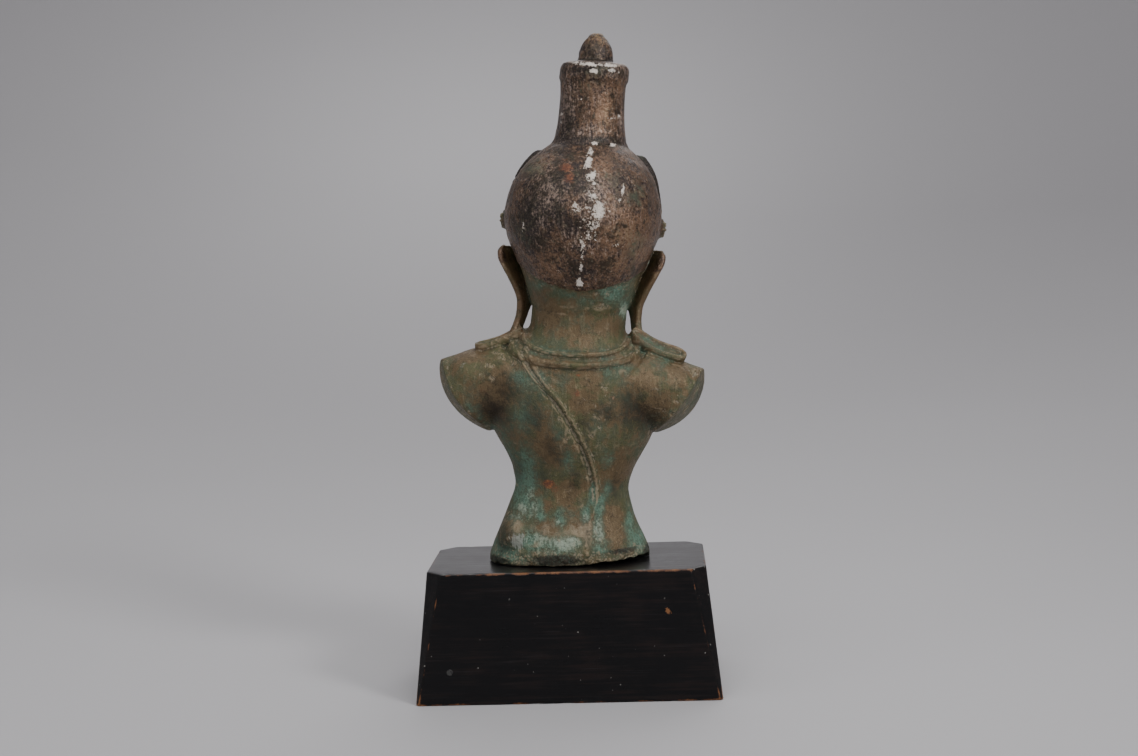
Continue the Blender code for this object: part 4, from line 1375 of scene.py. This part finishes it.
def patina(skin):
    """What the bronze's finish reads at each point: where its colours and crusts lie, and where shade and
    highlights are painted.
    """
    x, y, height = upright(skin.points)
    across = np.abs(x)
    normals = skin.normals()
    broad, mid, fine = (layered_grain(skin.points / PART, size, seed) for size, seed in PATINA_GRAINS)
    deep = np.clip(skin.hollowness(24) / (0.55 * MM), 0, 1)
    small = np.clip((skin.hollowness(5) - skin.hollowness(20) / 4) / (0.06 * MM), -1, 1)
    behind = step_between(-6, 6, y)
    faces_back = (1 - behind) * step_between(0.0, 0.4, normals[:, 1])

    def laid(rows, in_front):
        """Spots on the back, and the values given in front."""
        return behind * spots(x, height, rows) + (1 - behind) * in_front

    def only_behind(rows):
        return (y > 0) * spots(x, height, rows)

    lacquer = lacquered(x, y, height + 1.6 * fine + 0.8 * mid) * step_between(186, 190, height)
    bare = 1 - lacquer
    ear = on_ears(x, y, height)

    green = laid(GREEN_BEHIND, spots(x, height, GREEN_BEFORE))
    brown = laid(BROWN_BEHIND, spots(x, height, BROWN_BEFORE))
    flank = step_between(0.72, 0.95, across / trunk_at(height)[:, 0]) * (height < 110)
    underside = np.clip(-normals[:, 2], 0, 1) * (height < 150)
    verdigris = 0.36 + 0.20 * mid + 0.22 * broad + 0.75 * green - 0.62 * brown
    verdigris += 0.22 * deep + 0.20 * flank + 0.16 * underside
    cut_face = step_between(-2.2, -0.8, beyond_cut(x, y, height))
    cut_face *= (across > 50) * (height > 70) * (height < 160)
    verdigris = np.maximum(verdigris * (1 - cut_face), cut_face * (0.46 + 0.2 * mid))
    green_on_head = laid(GREEN_ON_HEAD, 0.5 * step_between(-0.1, 0.6, mid))
    verdigris = verdigris * bare + lacquer * (0.1 + 0.5 * green_on_head + 0.12 * mid)
    verdigris -= 0.35 * (across > 38) * (height > 170) * (height < 222)

    brown_in_front = 0.7 * step_between(-0.2, 0.5, -mid)
    brown_on_head = laid(BROWN_ON_HEAD, brown_in_front) - faces_back * brown_in_front
    # Painted shade under the arms, added to the brown and to the dark field.
    armpit_shade = 0.9 * hump(np.hypot(across - ARMPIT[0], (height - ARMPIT[1]) * 1.2), 0, ARMPIT_RADIUS)
    # The dark spots bring painted shade onto the head's left side here.
    darkened = 0.9 * laid(BLACKENED_AND_SHADED, 0.5 * step_between(0.2, 0.7, broad)) + faces_back
    flecks = only_behind(WHITE_FLECKS) * step_between(0.2, 0.7, fine)
    return {
        "lacquer": lacquer,
        "smear": laid(SMEARED, 0.6 * step_between(0.0, 0.6, broad)) * bare,
        "verdigris": np.clip(verdigris, 0, 1),
        "pale": laid(PALE_BEHIND, 0.5 * step_between(0.3, 0.8, mid)),
        "brown": np.clip(np.where(lacquer > 0.5, brown_on_head, brown + 0.4 * armpit_shade), 0, 1),
        "scuffed": laid(SCUFFED, 0.4 * step_between(0.0, 0.6, mid)),
        "plaster": np.maximum(only_behind(PLASTER + PLASTER_ON_FLANGE), flecks),
        "rust": only_behind(RUST),
        "worn": only_behind(WORN_PATCH),
        "crust": np.maximum(only_behind(DARK_CRUST), 0.5 * (1 - step_between(1, 5, height))),
        "ear_crust": beside_ear(x, y, height) * (0.85 + 0.6 * fine),
        "ear": ear,
        # dark: painted shade under the arms and in deep hollows off the ears, and on the head its dark
        # spots, with painted shade on its left side.
        "dark": np.clip(darkened * lacquer + armpit_shade * bare + 0.5 * deep * (1 - ear), 0, 1),
        "hollow": np.clip(small, 0, 1),
        # ridge: the exposed edges, which get rubbed tan metal and a painted highlight along their crests.
        "ridge": np.clip(-small, 0, 1) * (1 - faces_back * lacquer),
        "tip": step_between(357, 366, height),
    }


def write_patina(mesh, fields):
    for name, values in fields.items():
        attribute = mesh.attributes.new(name, "FLOAT", "POINT")
        attribute.data.foreach_set("value", np.asarray(values, np.float32))


def make_bust(finish):
    clay = model_clay(finish)
    mesh = bpy.data.meshes.new("bust_skin")
    mesh.from_pydata(np.vstack(clay.points), [], clay.faces)
    bust = object_of("bronze_bust", mesh)
    with_modifier_applied(bust, "REMESH", mode="VOXEL", voxel_size=SKIN_GRID)
    skin = Skin(bust.data)
    skin.relax(softening(*upright(skin.points)) * 0.6, SOFTENING_ROUNDS)
    skin.relax(np.full(len(skin.points), 0.5), 2)
    carve(skin)
    skin.write(bust.data)
    share = min(1.0, SKIN_TRIANGLES / len(skin.triangles))
    with_modifier_applied(bust, "DECIMATE", ratio=share)
    write_patina(bust.data, patina(Skin(bust.data)))
    bust.data.shade_smooth()
    bust.data.materials.clear()
    bust.data.materials.append(finish)
    return bust


# The plinth, in metres. Its sizes at the foot and the top are those of the solid.
CORNER_CUT_AT_FOOT = 2.0 * MM
CORNER_CUT_AT_TOP = 10.8 * MM
PLINTH_TAPER = 9.0 * MM
PLINTH_EDGE = 0.9 * MM
CORNER_EASE = 0.5
# How many steps each side is cut into: a cut corner, a long side, a cut corner, a short side.
PLINTH_SIDE_COUNTS = (8, 112, 8, 58)
PLINTH_ROWS = 52
PLINTH_TOP_RINGS = 30
# Stretches of the top's rear edge where the paint is rubbed through.
RUBBED_EDGE = ((-5, 49, 26, 1.8, 0.62), (30, 48.5, 10, 1.5, 0.55))


def plinth_outline(half_width, half_depth, cut):
    """The points round the plinth at one height, with the arcs at its corners close together."""
    quarter = [(half_width, half_depth - cut), (half_width - cut, half_depth)]
    corners = quarter + [(-x, y) for x, y in reversed(quarter)]
    corners += [(-x, -y) for x, y in quarter] + [(x, -y) for x, y in reversed(quarter)]
    corners = np.array(corners)
    points, edge = [], []
    for i, corner in enumerate(corners):
        before, after = corners[i - 1], corners[(i + 1) % len(corners)]
        back = (before - corner) / np.linalg.norm(before - corner)
        ahead = (after - corner) / np.linalg.norm(after - corner)
        points += [corner + back * PLINTH_EDGE, corner + (back + ahead) * PLINTH_EDGE * CORNER_EASE / 2]
        points.append(corner + ahead * PLINTH_EDGE)
        edge += [0.5, 1.0, 0.5]
        count = PLINTH_SIDE_COUNTS[i % 4]
        start, end = corner + ahead * PLINTH_EDGE, after - ahead * PLINTH_EDGE
        for share in np.linspace(0, 1, count + 1)[1:-1]:
            points.append(start + (end - start) * share)
            edge.append(0.0)
    return np.array(points), np.array(edge)


def plinth_rings():
    """The plinth's sections from its foot to the middle of its top, and how exposed each point is."""
    height = plinth_high[2]
    foot = np.array([plinth_high[0], plinth_high[1], CORNER_CUT_AT_FOOT])
    top = np.array([foot[0] - PLINTH_TAPER, foot[1] - PLINTH_TAPER, CORNER_CUT_AT_TOP])
    turns = np.linspace(0, np.pi / 2, 4)
    rows = [(PLINTH_EDGE * (1 - math.cos(t)), PLINTH_EDGE * (1 - math.sin(t))) for t in turns]
    straight = np.linspace(PLINTH_EDGE, height - PLINTH_EDGE, PLINTH_ROWS)[1:-1]
    levels = [(z, inset, 1.0) for z, inset in rows] + [(z, 0.0, 0.0) for z in straight]
    levels += [(height - z, inset, 1.0) for z, inset in reversed(rows)]
    rings, wear = [], []
    for z, inset, rim in levels:
        size = foot + (top - foot) * z / height
        points, edge = plinth_outline(size[0] - inset, size[1] - inset, size[2])
        rings.append(np.column_stack([points, np.full(len(points), z)]))
        wear.append(np.maximum(edge, rim))
    points, _ = plinth_outline(top[0] - PLINTH_EDGE, top[1] - PLINTH_EDGE, top[2])
    for share in np.linspace(1, 0.02, PLINTH_TOP_RINGS)[1:]:
        rings.append(np.column_stack([points * share, np.full(len(points), height)]))
        wear.append(np.zeros(len(points)))
    return rings, np.concatenate(wear)


def rubbed_paint(place, wear):
    """Where the paint is rubbed off its edges, at places in millimetres."""
    x, y, z = place.T
    rubbed = wear * (0.42 + 0.5 * layered_grain(place, 11, 221) + 0.25 * grain(place, 3, 231))
    top_edge = step_between(86, 89, z) * step_between(40, 48, y)
    rubbed += 0.18 * wear * top_edge * (0.6 + 0.6 * hump(x, -4, 34, 4))
    rubbed += 0.3 * wear * (1 - step_between(4, 16, z)) * step_between(88, 100, np.abs(x))
    return np.clip(np.maximum(rubbed, spots(x, y, RUBBED_EDGE) * (z > 88)), 0, 1)


def make_plinth(finish):
    """A painted block that narrows upwards, with worn, slightly dented edges."""
    rings, wear = plinth_rings()
    clay = Clay()
    clay.loft(rings)
    mesh = bpy.data.meshes.new("plinth_block")
    mesh.from_pydata(np.vstack(clay.points), [], clay.faces)
    plinth = object_of("painted_plinth", mesh)
    skin = Skin(mesh)
    place = skin.points / MM
    dents = wear * (0.12 + 0.5 * step_between(0.2, 0.8, layered_grain(place, 9, 201)))
    waves = 0.10 + 0.10 * layered_grain(place * [0.3, 1, 1], 18, 211)
    skin.points -= skin.normals() * ((dents + waves * (1 - wear)) * MM)[:, None]
    skin.points = np.clip(skin.points, plinth_low, plinth_high)
    skin.write(mesh)
    write_patina(mesh, {"rubbed": rubbed_paint(place, wear)})
    mesh.shade_smooth()
    mesh.set_sharp_from_angle(angle=math.radians(38))
    mesh.materials.append(finish)
    return plinth


class Value:
    """A socket of a material. Arithmetic on it adds the Math nodes."""

    def __init__(self, finish, socket):
        self.finish = finish
        self.socket = socket

    def math(self, operation, *values):
        return self.finish.node("ShaderNodeMath", {"operation": operation}, dict(enumerate(values)))

    def __add__(self, other):
        return self.math("ADD", self, other)

    def __radd__(self, other):
        return self.math("ADD", other, self)

    def __sub__(self, other):
        return self.math("SUBTRACT", self, other)

    def __rsub__(self, other):
        return self.math("SUBTRACT", other, self)

    def __mul__(self, other):
        return self.math("MULTIPLY", self, other)

    def __rmul__(self, other):
        return self.math("MULTIPLY", other, self)

    def __truediv__(self, other):
        return self.math("DIVIDE", self, other)

    def __pow__(self, other):
        return self.math("POWER", self, other)

    def most(self, other):
        return self.math("MAXIMUM", self, other)

    def from_to(self, low, high):
        """0 at the low value and 1 at the high one, with a soft step between."""
        settings = {"interpolation_type": "SMOOTHSTEP"}
        sockets = {"Value": self, "From Min": low, "From Max": high}
        return self.finish.node("ShaderNodeMapRange", settings, sockets)


class Finish:
    """A material in the making."""

    def __init__(self, name):
        self.material = bpy.data.materials.new(name)
        self.material.use_nodes = True
        self.tree = self.material.node_tree
        self.shader = self.tree.nodes["Principled BSDF"]
        self.place = self.node("ShaderNodeTexCoord", {}, {}, "Object")

    def node(self, kind, settings, sockets, output=0):
        """Adds a node: its settings first, then the values or links of its sockets."""
        made = self.tree.nodes.new(kind)
        for key, value in settings.items():
            setattr(made, key, value)
        for key, value in sockets.items():
            if isinstance(value, Value):
                self.tree.links.new(value.socket, made.inputs[key])
            else:
                made.inputs[key].default_value = value
        return Value(self, made.outputs[output])

    def field(self, name):
        """A value that was written on the mesh."""
        return self.node("ShaderNodeAttribute", {"attribute_name": name}, {}, "Fac")

    def noise(self, size, detail=3.0, roughness=0.55, stretch=None):
        """Cloudy values near a half, in lumps of the size given in metres, drawn out where stretched."""
        place = self.place
        if stretch:
            place = self.node("ShaderNodeMapping", {}, {"Vector": place, "Scale": stretch})
        sockets = {"Vector": place, "Scale": 1 / size, "Detail": detail, "Roughness": roughness}
        return self.node("ShaderNodeTexNoise", {}, sockets)

    def mix(self, first, second, share):
        """The first colour where the share is 0 and the second where it is 1."""
        sockets = {0: share}
        for key, colour in ((6, first), (7, second)):
            sockets[key] = colour if isinstance(colour, Value) else (*colour, 1.0)
        return self.node("ShaderNodeMix", {"data_type": "RGBA"}, sockets, 2)

    def axes(self):
        split = self.node("ShaderNodeSeparateXYZ", {}, {"Vector": self.place})
        return [Value(self, socket) for socket in split.socket.node.outputs]

    def set(self, **inputs):
        """Sets the shader's sockets, with spaces for the underlines in their names."""
        for key, value in inputs.items():
            socket = self.shader.inputs[key.replace("_", " ")]
            if isinstance(value, Value):
                self.tree.links.new(value.socket, socket)
            else:
                socket.default_value = value

    def bump(self, height, depth, strength=1.0):
        """A normal for relief that is as deep as given, in metres, where the height is 1."""
        sockets = {"Height": height, "Distance": depth, "Strength": strength}
        return self.node("ShaderNodeBump", {}, sockets)


# Colours as a painter would mix them, in linear light.
BROWN = (0.125, 0.086, 0.043)
LIGHT_BROWN = (0.285, 0.215, 0.120)
DARK_BROWN = (0.020, 0.014, 0.008)
OLIVE = (0.090, 0.090, 0.040)
DULL_GREEN = (0.088, 0.104, 0.058)
TURQUOISE = (0.110, 0.212, 0.155)
DEEP_GREEN = (0.034, 0.062, 0.044)
PALE_GREEN = (0.37, 0.43, 0.34)
DUST = (0.37, 0.31, 0.215)
LACQUER = (0.030, 0.021, 0.018)
LACQUER_BROWN = (0.178, 0.102, 0.060)
LACQUER_GREY = (0.345, 0.255, 0.205)
PLASTER_WHITE = (0.66, 0.60, 0.54)
RUST_ORANGE = (0.250, 0.095, 0.034)
RUST_DARK = (0.110, 0.034, 0.018)
# Near black, for soot, for dark crust and for painted shade.
SHADE_AND_SOOT_BLACK = (0.014, 0.011, 0.007)
TAN = (0.330, 0.255, 0.165)
REDDISH_BROWN = (0.150, 0.086, 0.047)
SILVERY = (0.36, 0.38, 0.35)
GILT = (0.42, 0.26, 0.09)
BRONZE_BUMP = 0.85 * MM


def bronze_grains(finish):
    """The noises that the bronze's colours share, from broad to fine, and two drawn out upwards."""
    return SimpleNamespace(
        blotch=finish.noise(0.016),
        lump=finish.noise(0.0055, 4.0, 0.62),
        speck=finish.noise(0.0017, 4.0, 0.7),
        grit=finish.noise(0.0009, 2.0, 0.6),
        brushed=finish.noise(0.0022, 3.0, 0.6, (1.0, 1.0, 0.16)),
        scratches=finish.noise(0.0011, 2.0, 0.5, (1.0, 1.0, 0.07)),
    )


def warm_metal(finish, at):
    """The brown of the metal, lighter where it was brushed and dark in its pores."""
    olive = at.blotch + (at.lump - 0.5) * 0.8 - finish.field("brown") * 0.35
    warm = finish.mix(BROWN, OLIVE, olive.from_to(0.36, 0.60))
    warm = finish.mix(warm, REDDISH_BROWN, finish.field("ear") * (0.4 + at.speck * 0.4))
    warm = finish.mix(warm, LIGHT_BROWN, (at.speck * 0.5 + at.brushed * 0.5).from_to(0.50, 0.68) * 0.6)
    # The dark field deepens the pores a little, and with it some painted shade.
    pores = at.speck * 0.4 + at.lump * 0.3 + at.grit * 0.3 + finish.field("dark") * 0.16
    return finish.mix(warm, DARK_BROWN, pores.from_to(0.48, 0.64) * 0.75)


def aged_metal(finish, at, greenness, crusted, dull):
    """The metal under dull green, bright green, pale dust, dark smears and lighter streaks."""
    body = finish.mix(warm_metal(finish, at), dull, crusted * 0.72)
    bright = (at.speck * 0.5 + at.lump * 0.3 + at.grit * 0.2).from_to(0.38, 0.56)
    pale = finish.field("pale") * 0.75 + (at.speck - 0.5) * 0.9 + (at.lump - 0.5) * 0.7
    pale = pale.from_to(0.30, 0.75)
    bright = finish.mix(finish.mix(DEEP_GREEN, TURQUOISE, bright), PALE_GREEN, pale * 0.85)
    body = finish.mix(body, bright, greenness.from_to(0.55, 1.15) * 0.85)
    body = finish.mix(body, DUST, pale * (1.0 - crusted) * 0.7)
    smeared = finish.field("smear") * 0.30 + at.brushed * 0.3 + at.lump * 0.45 + at.speck * 0.25
    smeared = smeared.from_to(0.50, 0.78)
    body = finish.mix(body, DARK_BROWN, smeared * 0.62)
    streaks = (at.brushed * 0.45 + at.lump * 0.25 + at.speck * 0.3).from_to(0.53, 0.66)
    return finish.mix(body, LIGHT_BROWN, streaks * (1.0 - smeared) * 0.5)


def dark_lacquer(finish, at):
    """The lacquer of the head: black to brown, scuffed to grey, with soot on it, and darker with painted
    shade on its left side.
    """
    dark, browned = finish.field("dark"), finish.field("brown")
    tone = at.lump * 0.5 + at.brushed * 0.2 + at.speck * 0.3 - dark * 0.16 + browned * 0.12
    skin = finish.mix(LACQUER, LACQUER_BROWN, tone.from_to(0.40, 0.58))
    skin = finish.mix(skin, REDDISH_BROWN, (at.blotch * 0.5 + at.speck * 0.5).from_to(0.50, 0.62) * 0.5)
    lighter = browned * 0.5 + (at.speck - 0.5) * 1.2 + (at.brushed - 0.5) * 0.8
    skin = finish.mix(skin, LIGHT_BROWN, lighter.from_to(0.30, 0.75) * 0.5)
    scuffs = at.scratches * 0.4 + at.speck * 0.6 + finish.field("scuffed") * 0.14
    skin = finish.mix(skin, LACQUER_GREY, scuffs.from_to(0.54, 0.65) * (1.0 - dark * 0.5) * 0.78)
    soot_and_shade = at.grit * 0.2 + at.blotch * 0.35 + at.lump * 0.45 + dark * 0.07
    return finish.mix(skin, SHADE_AND_SOOT_BLACK, soot_and_shade.from_to(0.50, 0.58) * 0.85)


def old_bronze():
    finish = Finish("old_bronze")
    at = bronze_grains(finish)
    lacquer = finish.field("lacquer").from_to(0.35, 0.65)
    bare = 1.0 - lacquer
    hollow, dark = finish.field("hollow"), finish.field("dark")
    greenness = finish.field("verdigris") + (at.lump - 0.5) * 0.9 + (at.speck - 0.5) * 0.9
    greenness = greenness + (at.brushed - 0.5) * 0.6
    crusted = greenness.from_to(0.20, 0.75)
    dull = finish.mix(DEEP_GREEN, DULL_GREEN, (at.speck * 0.6 + at.grit * 0.4).from_to(0.42, 0.60))
    head = finish.mix(dark_lacquer(finish, at), dull, crusted * 0.6)
    colour = finish.mix(aged_metal(finish, at, greenness, crusted, dull), head, lacquer)

    # Painted shade, near black, where the dark field lies on the bare bronze: under the arms and in deep
    # hollows.
    soot_and_shade = (bare * dark * (at.lump + 0.3)).from_to(0.35, 1.05)
    shadowed = (hollow * 0.9 + (at.lump - 0.5) * 0.8).from_to(0.35, 0.85)
    dusty = (hollow * 0.8 + (at.speck - 0.5) * 1.4).from_to(0.42, 0.86) * (1.0 - lacquer * 0.7)
    # Tan on ridges and crests: partly rubbed metal, partly a painted highlight.
    rubbed = (finish.field("ridge") + (at.speck - 0.5) * 0.6).from_to(0.38, 0.95)
    crust = (finish.field("crust") + (at.speck - 0.5) * 0.9).from_to(0.35, 0.75)
    ear_crust = (finish.field("ear_crust") + (at.speck - 0.5) * 1.4).from_to(0.45, 0.75)
    worn = finish.field("worn") + (at.scratches - 0.5) * 1.8 + (at.speck - 0.5) * 0.9
    rust = finish.field("rust") + (at.speck - 0.5) * 1.1 + (at.lump - 0.5) * 0.6
    rust = rust.from_to(0.30, 0.85)
    ragged = (at.speck - 0.5) * 1.9 + (at.grit - 0.5) * 1.2 + (at.lump - 0.5) * 1.6
    plaster = finish.field("plaster")
    plaster = (plaster + ragged * plaster.from_to(0.0, 0.35)).from_to(0.53, 0.62)
    for tint, share in (
        (GILT, finish.field("tip") * at.speck.from_to(0.50, 0.62) * 0.6),
        (SHADE_AND_SOOT_BLACK, soot_and_shade * 0.55),
        (DARK_BROWN, shadowed * 0.5),
        (DUST, dusty * 0.5),
        (TAN, rubbed * (0.5 - lacquer * 0.36)),
        (finish.mix(SHADE_AND_SOOT_BLACK, DEEP_GREEN, at.grit.from_to(0.52, 0.68)), crust * 0.9),
        (PALE_GREEN, ear_crust * 0.8),
        (SILVERY, worn.from_to(0.45, 0.95) * 0.5),
        (finish.mix(RUST_DARK, RUST_ORANGE, at.speck.from_to(0.44, 0.66)), rust * 0.85),
        (finish.mix(PLASTER_WHITE, LIGHT_BROWN, at.grit.from_to(0.52, 0.66) * 0.7), plaster),
    ):
        colour = finish.mix(colour, tint, share)

    covered = (crusted * 0.9).most(dusty).most(plaster).most(rust).most(crust).most(ear_crust)
    shine = lacquer * 0.42 + bare * 0.34
    gloss = 0.48 - lacquer * 0.16 + (at.speck - 0.5) * 0.5 + (at.blotch - 0.5) * 0.2
    relief = at.speck * 0.50 + at.lump * (0.35 + lacquer * 0.3) + at.grit * 0.25
    relief = relief + plaster * 0.35 + crusted * bare * 0.15
    relief = relief - at.scratches.from_to(0.58, 0.68) * (0.14 + lacquer * 0.1)
    finish.set(
        Base_Color=colour,
        Specular_IOR_Level=0.4,
        Metallic=shine * (1.0 - covered),
        Roughness=gloss + covered * 0.26,
        Normal=finish.bump(relief, BRONZE_BUMP),
    )
    return finish.material


# The plug and the chip on the rear side of the plinth, as x and height, in metres.
PLUG = (81.5 * MM, 22.8 * MM)
PLUG_RADIUS = 2.4 * MM
PAINT_BUMP = 0.35 * MM
# The varnish lies on the top face alone, between these heights.
VARNISH_FROM = plinth_high[2] - 0.9 * MM
VARNISH_FULL = plinth_high[2] - 0.3 * MM
CHIP = (-69.6 * MM, 62.0 * MM)
CHIP_RADIUS = 1.5 * MM

PAINT = (0.0034, 0.0033, 0.0038)
PAINT_BROWN = (0.0105, 0.0066, 0.0060)
PAINT_GREY = (0.014, 0.0136, 0.0145)
PLUG_GREY = (0.050, 0.050, 0.048)
BARE_WOOD = (0.185, 0.080, 0.032)
RUBBED_WOOD = (0.085, 0.034, 0.016)
SPECK_WHITE = (0.40, 0.39, 0.36)


def painted_wood():
    finish = Finish("black_painted_wood")
    x, y, z = finish.axes()
    cloud = finish.noise(0.030)
    brushed = finish.noise(0.0022, 3.0, 0.6, (0.045, 1.0, 1.0))
    fine_brush = finish.noise(0.0009, 2.0, 0.55, (0.03, 1.0, 1.0))
    grit = finish.noise(0.0012, 3.0, 0.6)
    sparse = finish.noise(0.0019, 0.0, 0.5)
    colour = finish.mix(PAINT, PAINT_BROWN, (brushed * 0.6 + cloud * 0.4).from_to(0.46, 0.62) * 0.8)
    colour = finish.mix(colour, PAINT_GREY, (fine_brush * 0.6 + brushed * 0.4).from_to(0.56, 0.70) * 0.5)
    edge = finish.field("rubbed") + (grit - 0.5) * 0.7
    colour = finish.mix(colour, RUBBED_WOOD, edge.from_to(0.42, 0.62))
    colour = finish.mix(colour, BARE_WOOD, edge.from_to(0.60, 0.84))

    def away_from(place, length=1.0):
        """How far each point is from a place, or from a mark drawn out by a length along its slant."""
        across, up = x - place[0], z - place[1]
        along, beside = (across + up) / (length * 2**0.5), (across - up) / 2**0.5
        return (along * along + beside * beside) ** 0.5

    outward = y.from_to(0.045, 0.050)
    from_plug = away_from(PLUG)
    plug = (1.0 - from_plug.from_to(PLUG_RADIUS * 0.8, PLUG_RADIUS)) * outward
    plug_ring = plug * from_plug.from_to(PLUG_RADIUS * 0.55, PLUG_RADIUS * 0.75)
    colour = finish.mix(colour, PLUG_GREY, plug * grit.from_to(0.38, 0.56) * 0.8)
    from_chip = away_from(CHIP, 1.8) + (grit - 0.5) * 0.004
    chip = (1.0 - from_chip.from_to(CHIP_RADIUS * 0.7, CHIP_RADIUS)) * outward
    colour = finish.mix(colour, BARE_WOOD, chip)
    specks = (sparse + (grit - 0.5) * 0.12).from_to(0.845, 0.87) * cloud.from_to(0.44, 0.58)
    colour = finish.mix(colour, SPECK_WHITE, specks * 0.7)

    bare = edge.from_to(0.45, 0.75).most(chip)
    relief = fine_brush * 0.35 + brushed * 0.4 + grit * 0.15 - bare * 0.5 - chip * 0.8 + plug_ring * 0.6
    finish.set(
        Base_Color=colour,
        Specular_IOR_Level=0.2,
        Coat_Weight=z.from_to(VARNISH_FROM, VARNISH_FULL) * 0.75,
        Coat_Roughness=0.2,
        Roughness=0.34 + (cloud - 0.5) * 0.22 + (brushed - 0.5) * 0.2 + bare * 0.25,
        Normal=finish.bump(relief, PAINT_BUMP, 0.8),
    )
    return finish.material


CAMERA_PLACE = (-0.0639, 1.2546, 0.3416)
CAMERA_PITCH = math.radians(5.60)
CAMERA_YAW = math.radians(2.70)
CAMERA_ROLL = math.radians(-1.93)
LENS = 56.5
SENSOR_WIDTH = 36


def make_camera():
    """Stands behind the bust, a little to its right and above its middle."""
    camera = bpy.data.objects.new("camera", bpy.data.cameras.new("camera"))
    bpy.context.scene.collection.objects.link(camera)
    camera.data.sensor_width = SENSOR_WIDTH
    camera.data.lens = LENS
    camera.location = CAMERA_PLACE
    reach = math.cos(CAMERA_PITCH)
    forward = [math.sin(CAMERA_YAW) * reach, -math.cos(CAMERA_YAW) * reach, -math.sin(CAMERA_PITCH)]
    level = np.cross(forward, [0, 0, 1])
    level /= np.linalg.norm(level)
    above = np.cross(level, forward)
    right = math.cos(CAMERA_ROLL) * level + math.sin(CAMERA_ROLL) * above
    up = math.cos(CAMERA_ROLL) * above - math.sin(CAMERA_ROLL) * level
    camera.rotation_euler = Matrix((right, up, -np.array(forward))).transposed().to_euler()
    bpy.context.scene.camera = camera


# The paper: the radius of its flat part and of its upward curve, and the height of its edge.
FLOOR_FLAT = 0.8
FLOOR_CURVE = 2.7
WALL_TOP = 2.9
FLOOR_SIDES = 96
PAPER_GREY = (0.475, 0.468, 0.478, 1)


def make_floor():
    """A round sheet of pale grey paper that sweeps up on all sides."""
    profile = [(share * FLOOR_FLAT, 0.0) for share in np.linspace(0.01, 1, 12)]
    for turn in np.linspace(0, np.pi / 2, 16)[1:]:
        profile.append((FLOOR_FLAT + FLOOR_CURVE * math.sin(turn), FLOOR_CURVE * (1 - math.cos(turn))))
    profile.append((FLOOR_FLAT + FLOOR_CURVE, WALL_TOP))
    angle = full_turn(FLOOR_SIDES)
    around = np.stack([np.cos(angle), np.sin(angle)], axis=1)
    rings = [np.column_stack([radius * around, np.full(FLOOR_SIDES, z)]) for radius, z in profile]
    sweep = Clay()
    sweep.loft(rings)
    mesh = bpy.data.meshes.new("paper_sweep")
    mesh.from_pydata(np.vstack(sweep.points), [], [face[::-1] for face in sweep.faces[:-1]])
    mesh.shade_smooth()
    floor = object_of("paper_sweep", mesh)
    paper = Finish("pale_grey_paper")
    paper.set(Base_Color=PAPER_GREY, Roughness=0.75)
    mesh.materials.append(paper.material)


SKY_GREY = (0.985, 0.965, 1.0, 1)
SKY_STRENGTH = 0.53
# Square lights: name, place and target, size in metres, watts, and the angle of the spread in degrees.
LIGHTS = (
    ("soft_ceiling", (0.0, 1.25, 1.9), (0, 0, 0.25), 1.8, 22, 180),
    ("soft_box_right", (-1.2, 1.1, 1.2), (0, 0, 0.32), 0.45, 2.2, 60),
    ("soft_box_left", (1.3, 0.8, 0.8), (0, 0, 0.25), 0.7, 2.5, 180),
    ("soft_box_before_face", (-0.2, -0.95, 1.3), (0, 0, 0.28), 1.0, 6.5, 180),
    ("soft_box_on_paper", (0.2, -1.7, 1.25), (0.2, -2.3, 0.5), 0.5, 2.2, 120),
)


def make_lights():
    world = bpy.data.worlds.new("studio")
    world.use_nodes = True
    background = world.node_tree.nodes["Background"]
    background.inputs["Color"].default_value = SKY_GREY
    background.inputs["Strength"].default_value = SKY_STRENGTH
    bpy.context.scene.world = world
    for name, place, target, size, watts, spread in LIGHTS:
        light = bpy.data.lights.new(name, "AREA")
        light.size = size
        light.energy = watts
        light.spread = math.radians(spread)
        lamp = bpy.data.objects.new(name, light)
        bpy.context.scene.collection.objects.link(lamp)
        lamp.location = place
        lamp.rotation_euler = (Vector(target) - Vector(place)).to_track_quat("-Z", "Y").to_euler()


make_camera()
make_floor()
make_lights()
for piece, node, slot in (
    (make_bust(old_bronze()), "bust", "bronze"),
    (make_plinth(painted_wood()), "plinth", "black_painted_wood"),
):
    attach(piece, "root")
    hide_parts(node)
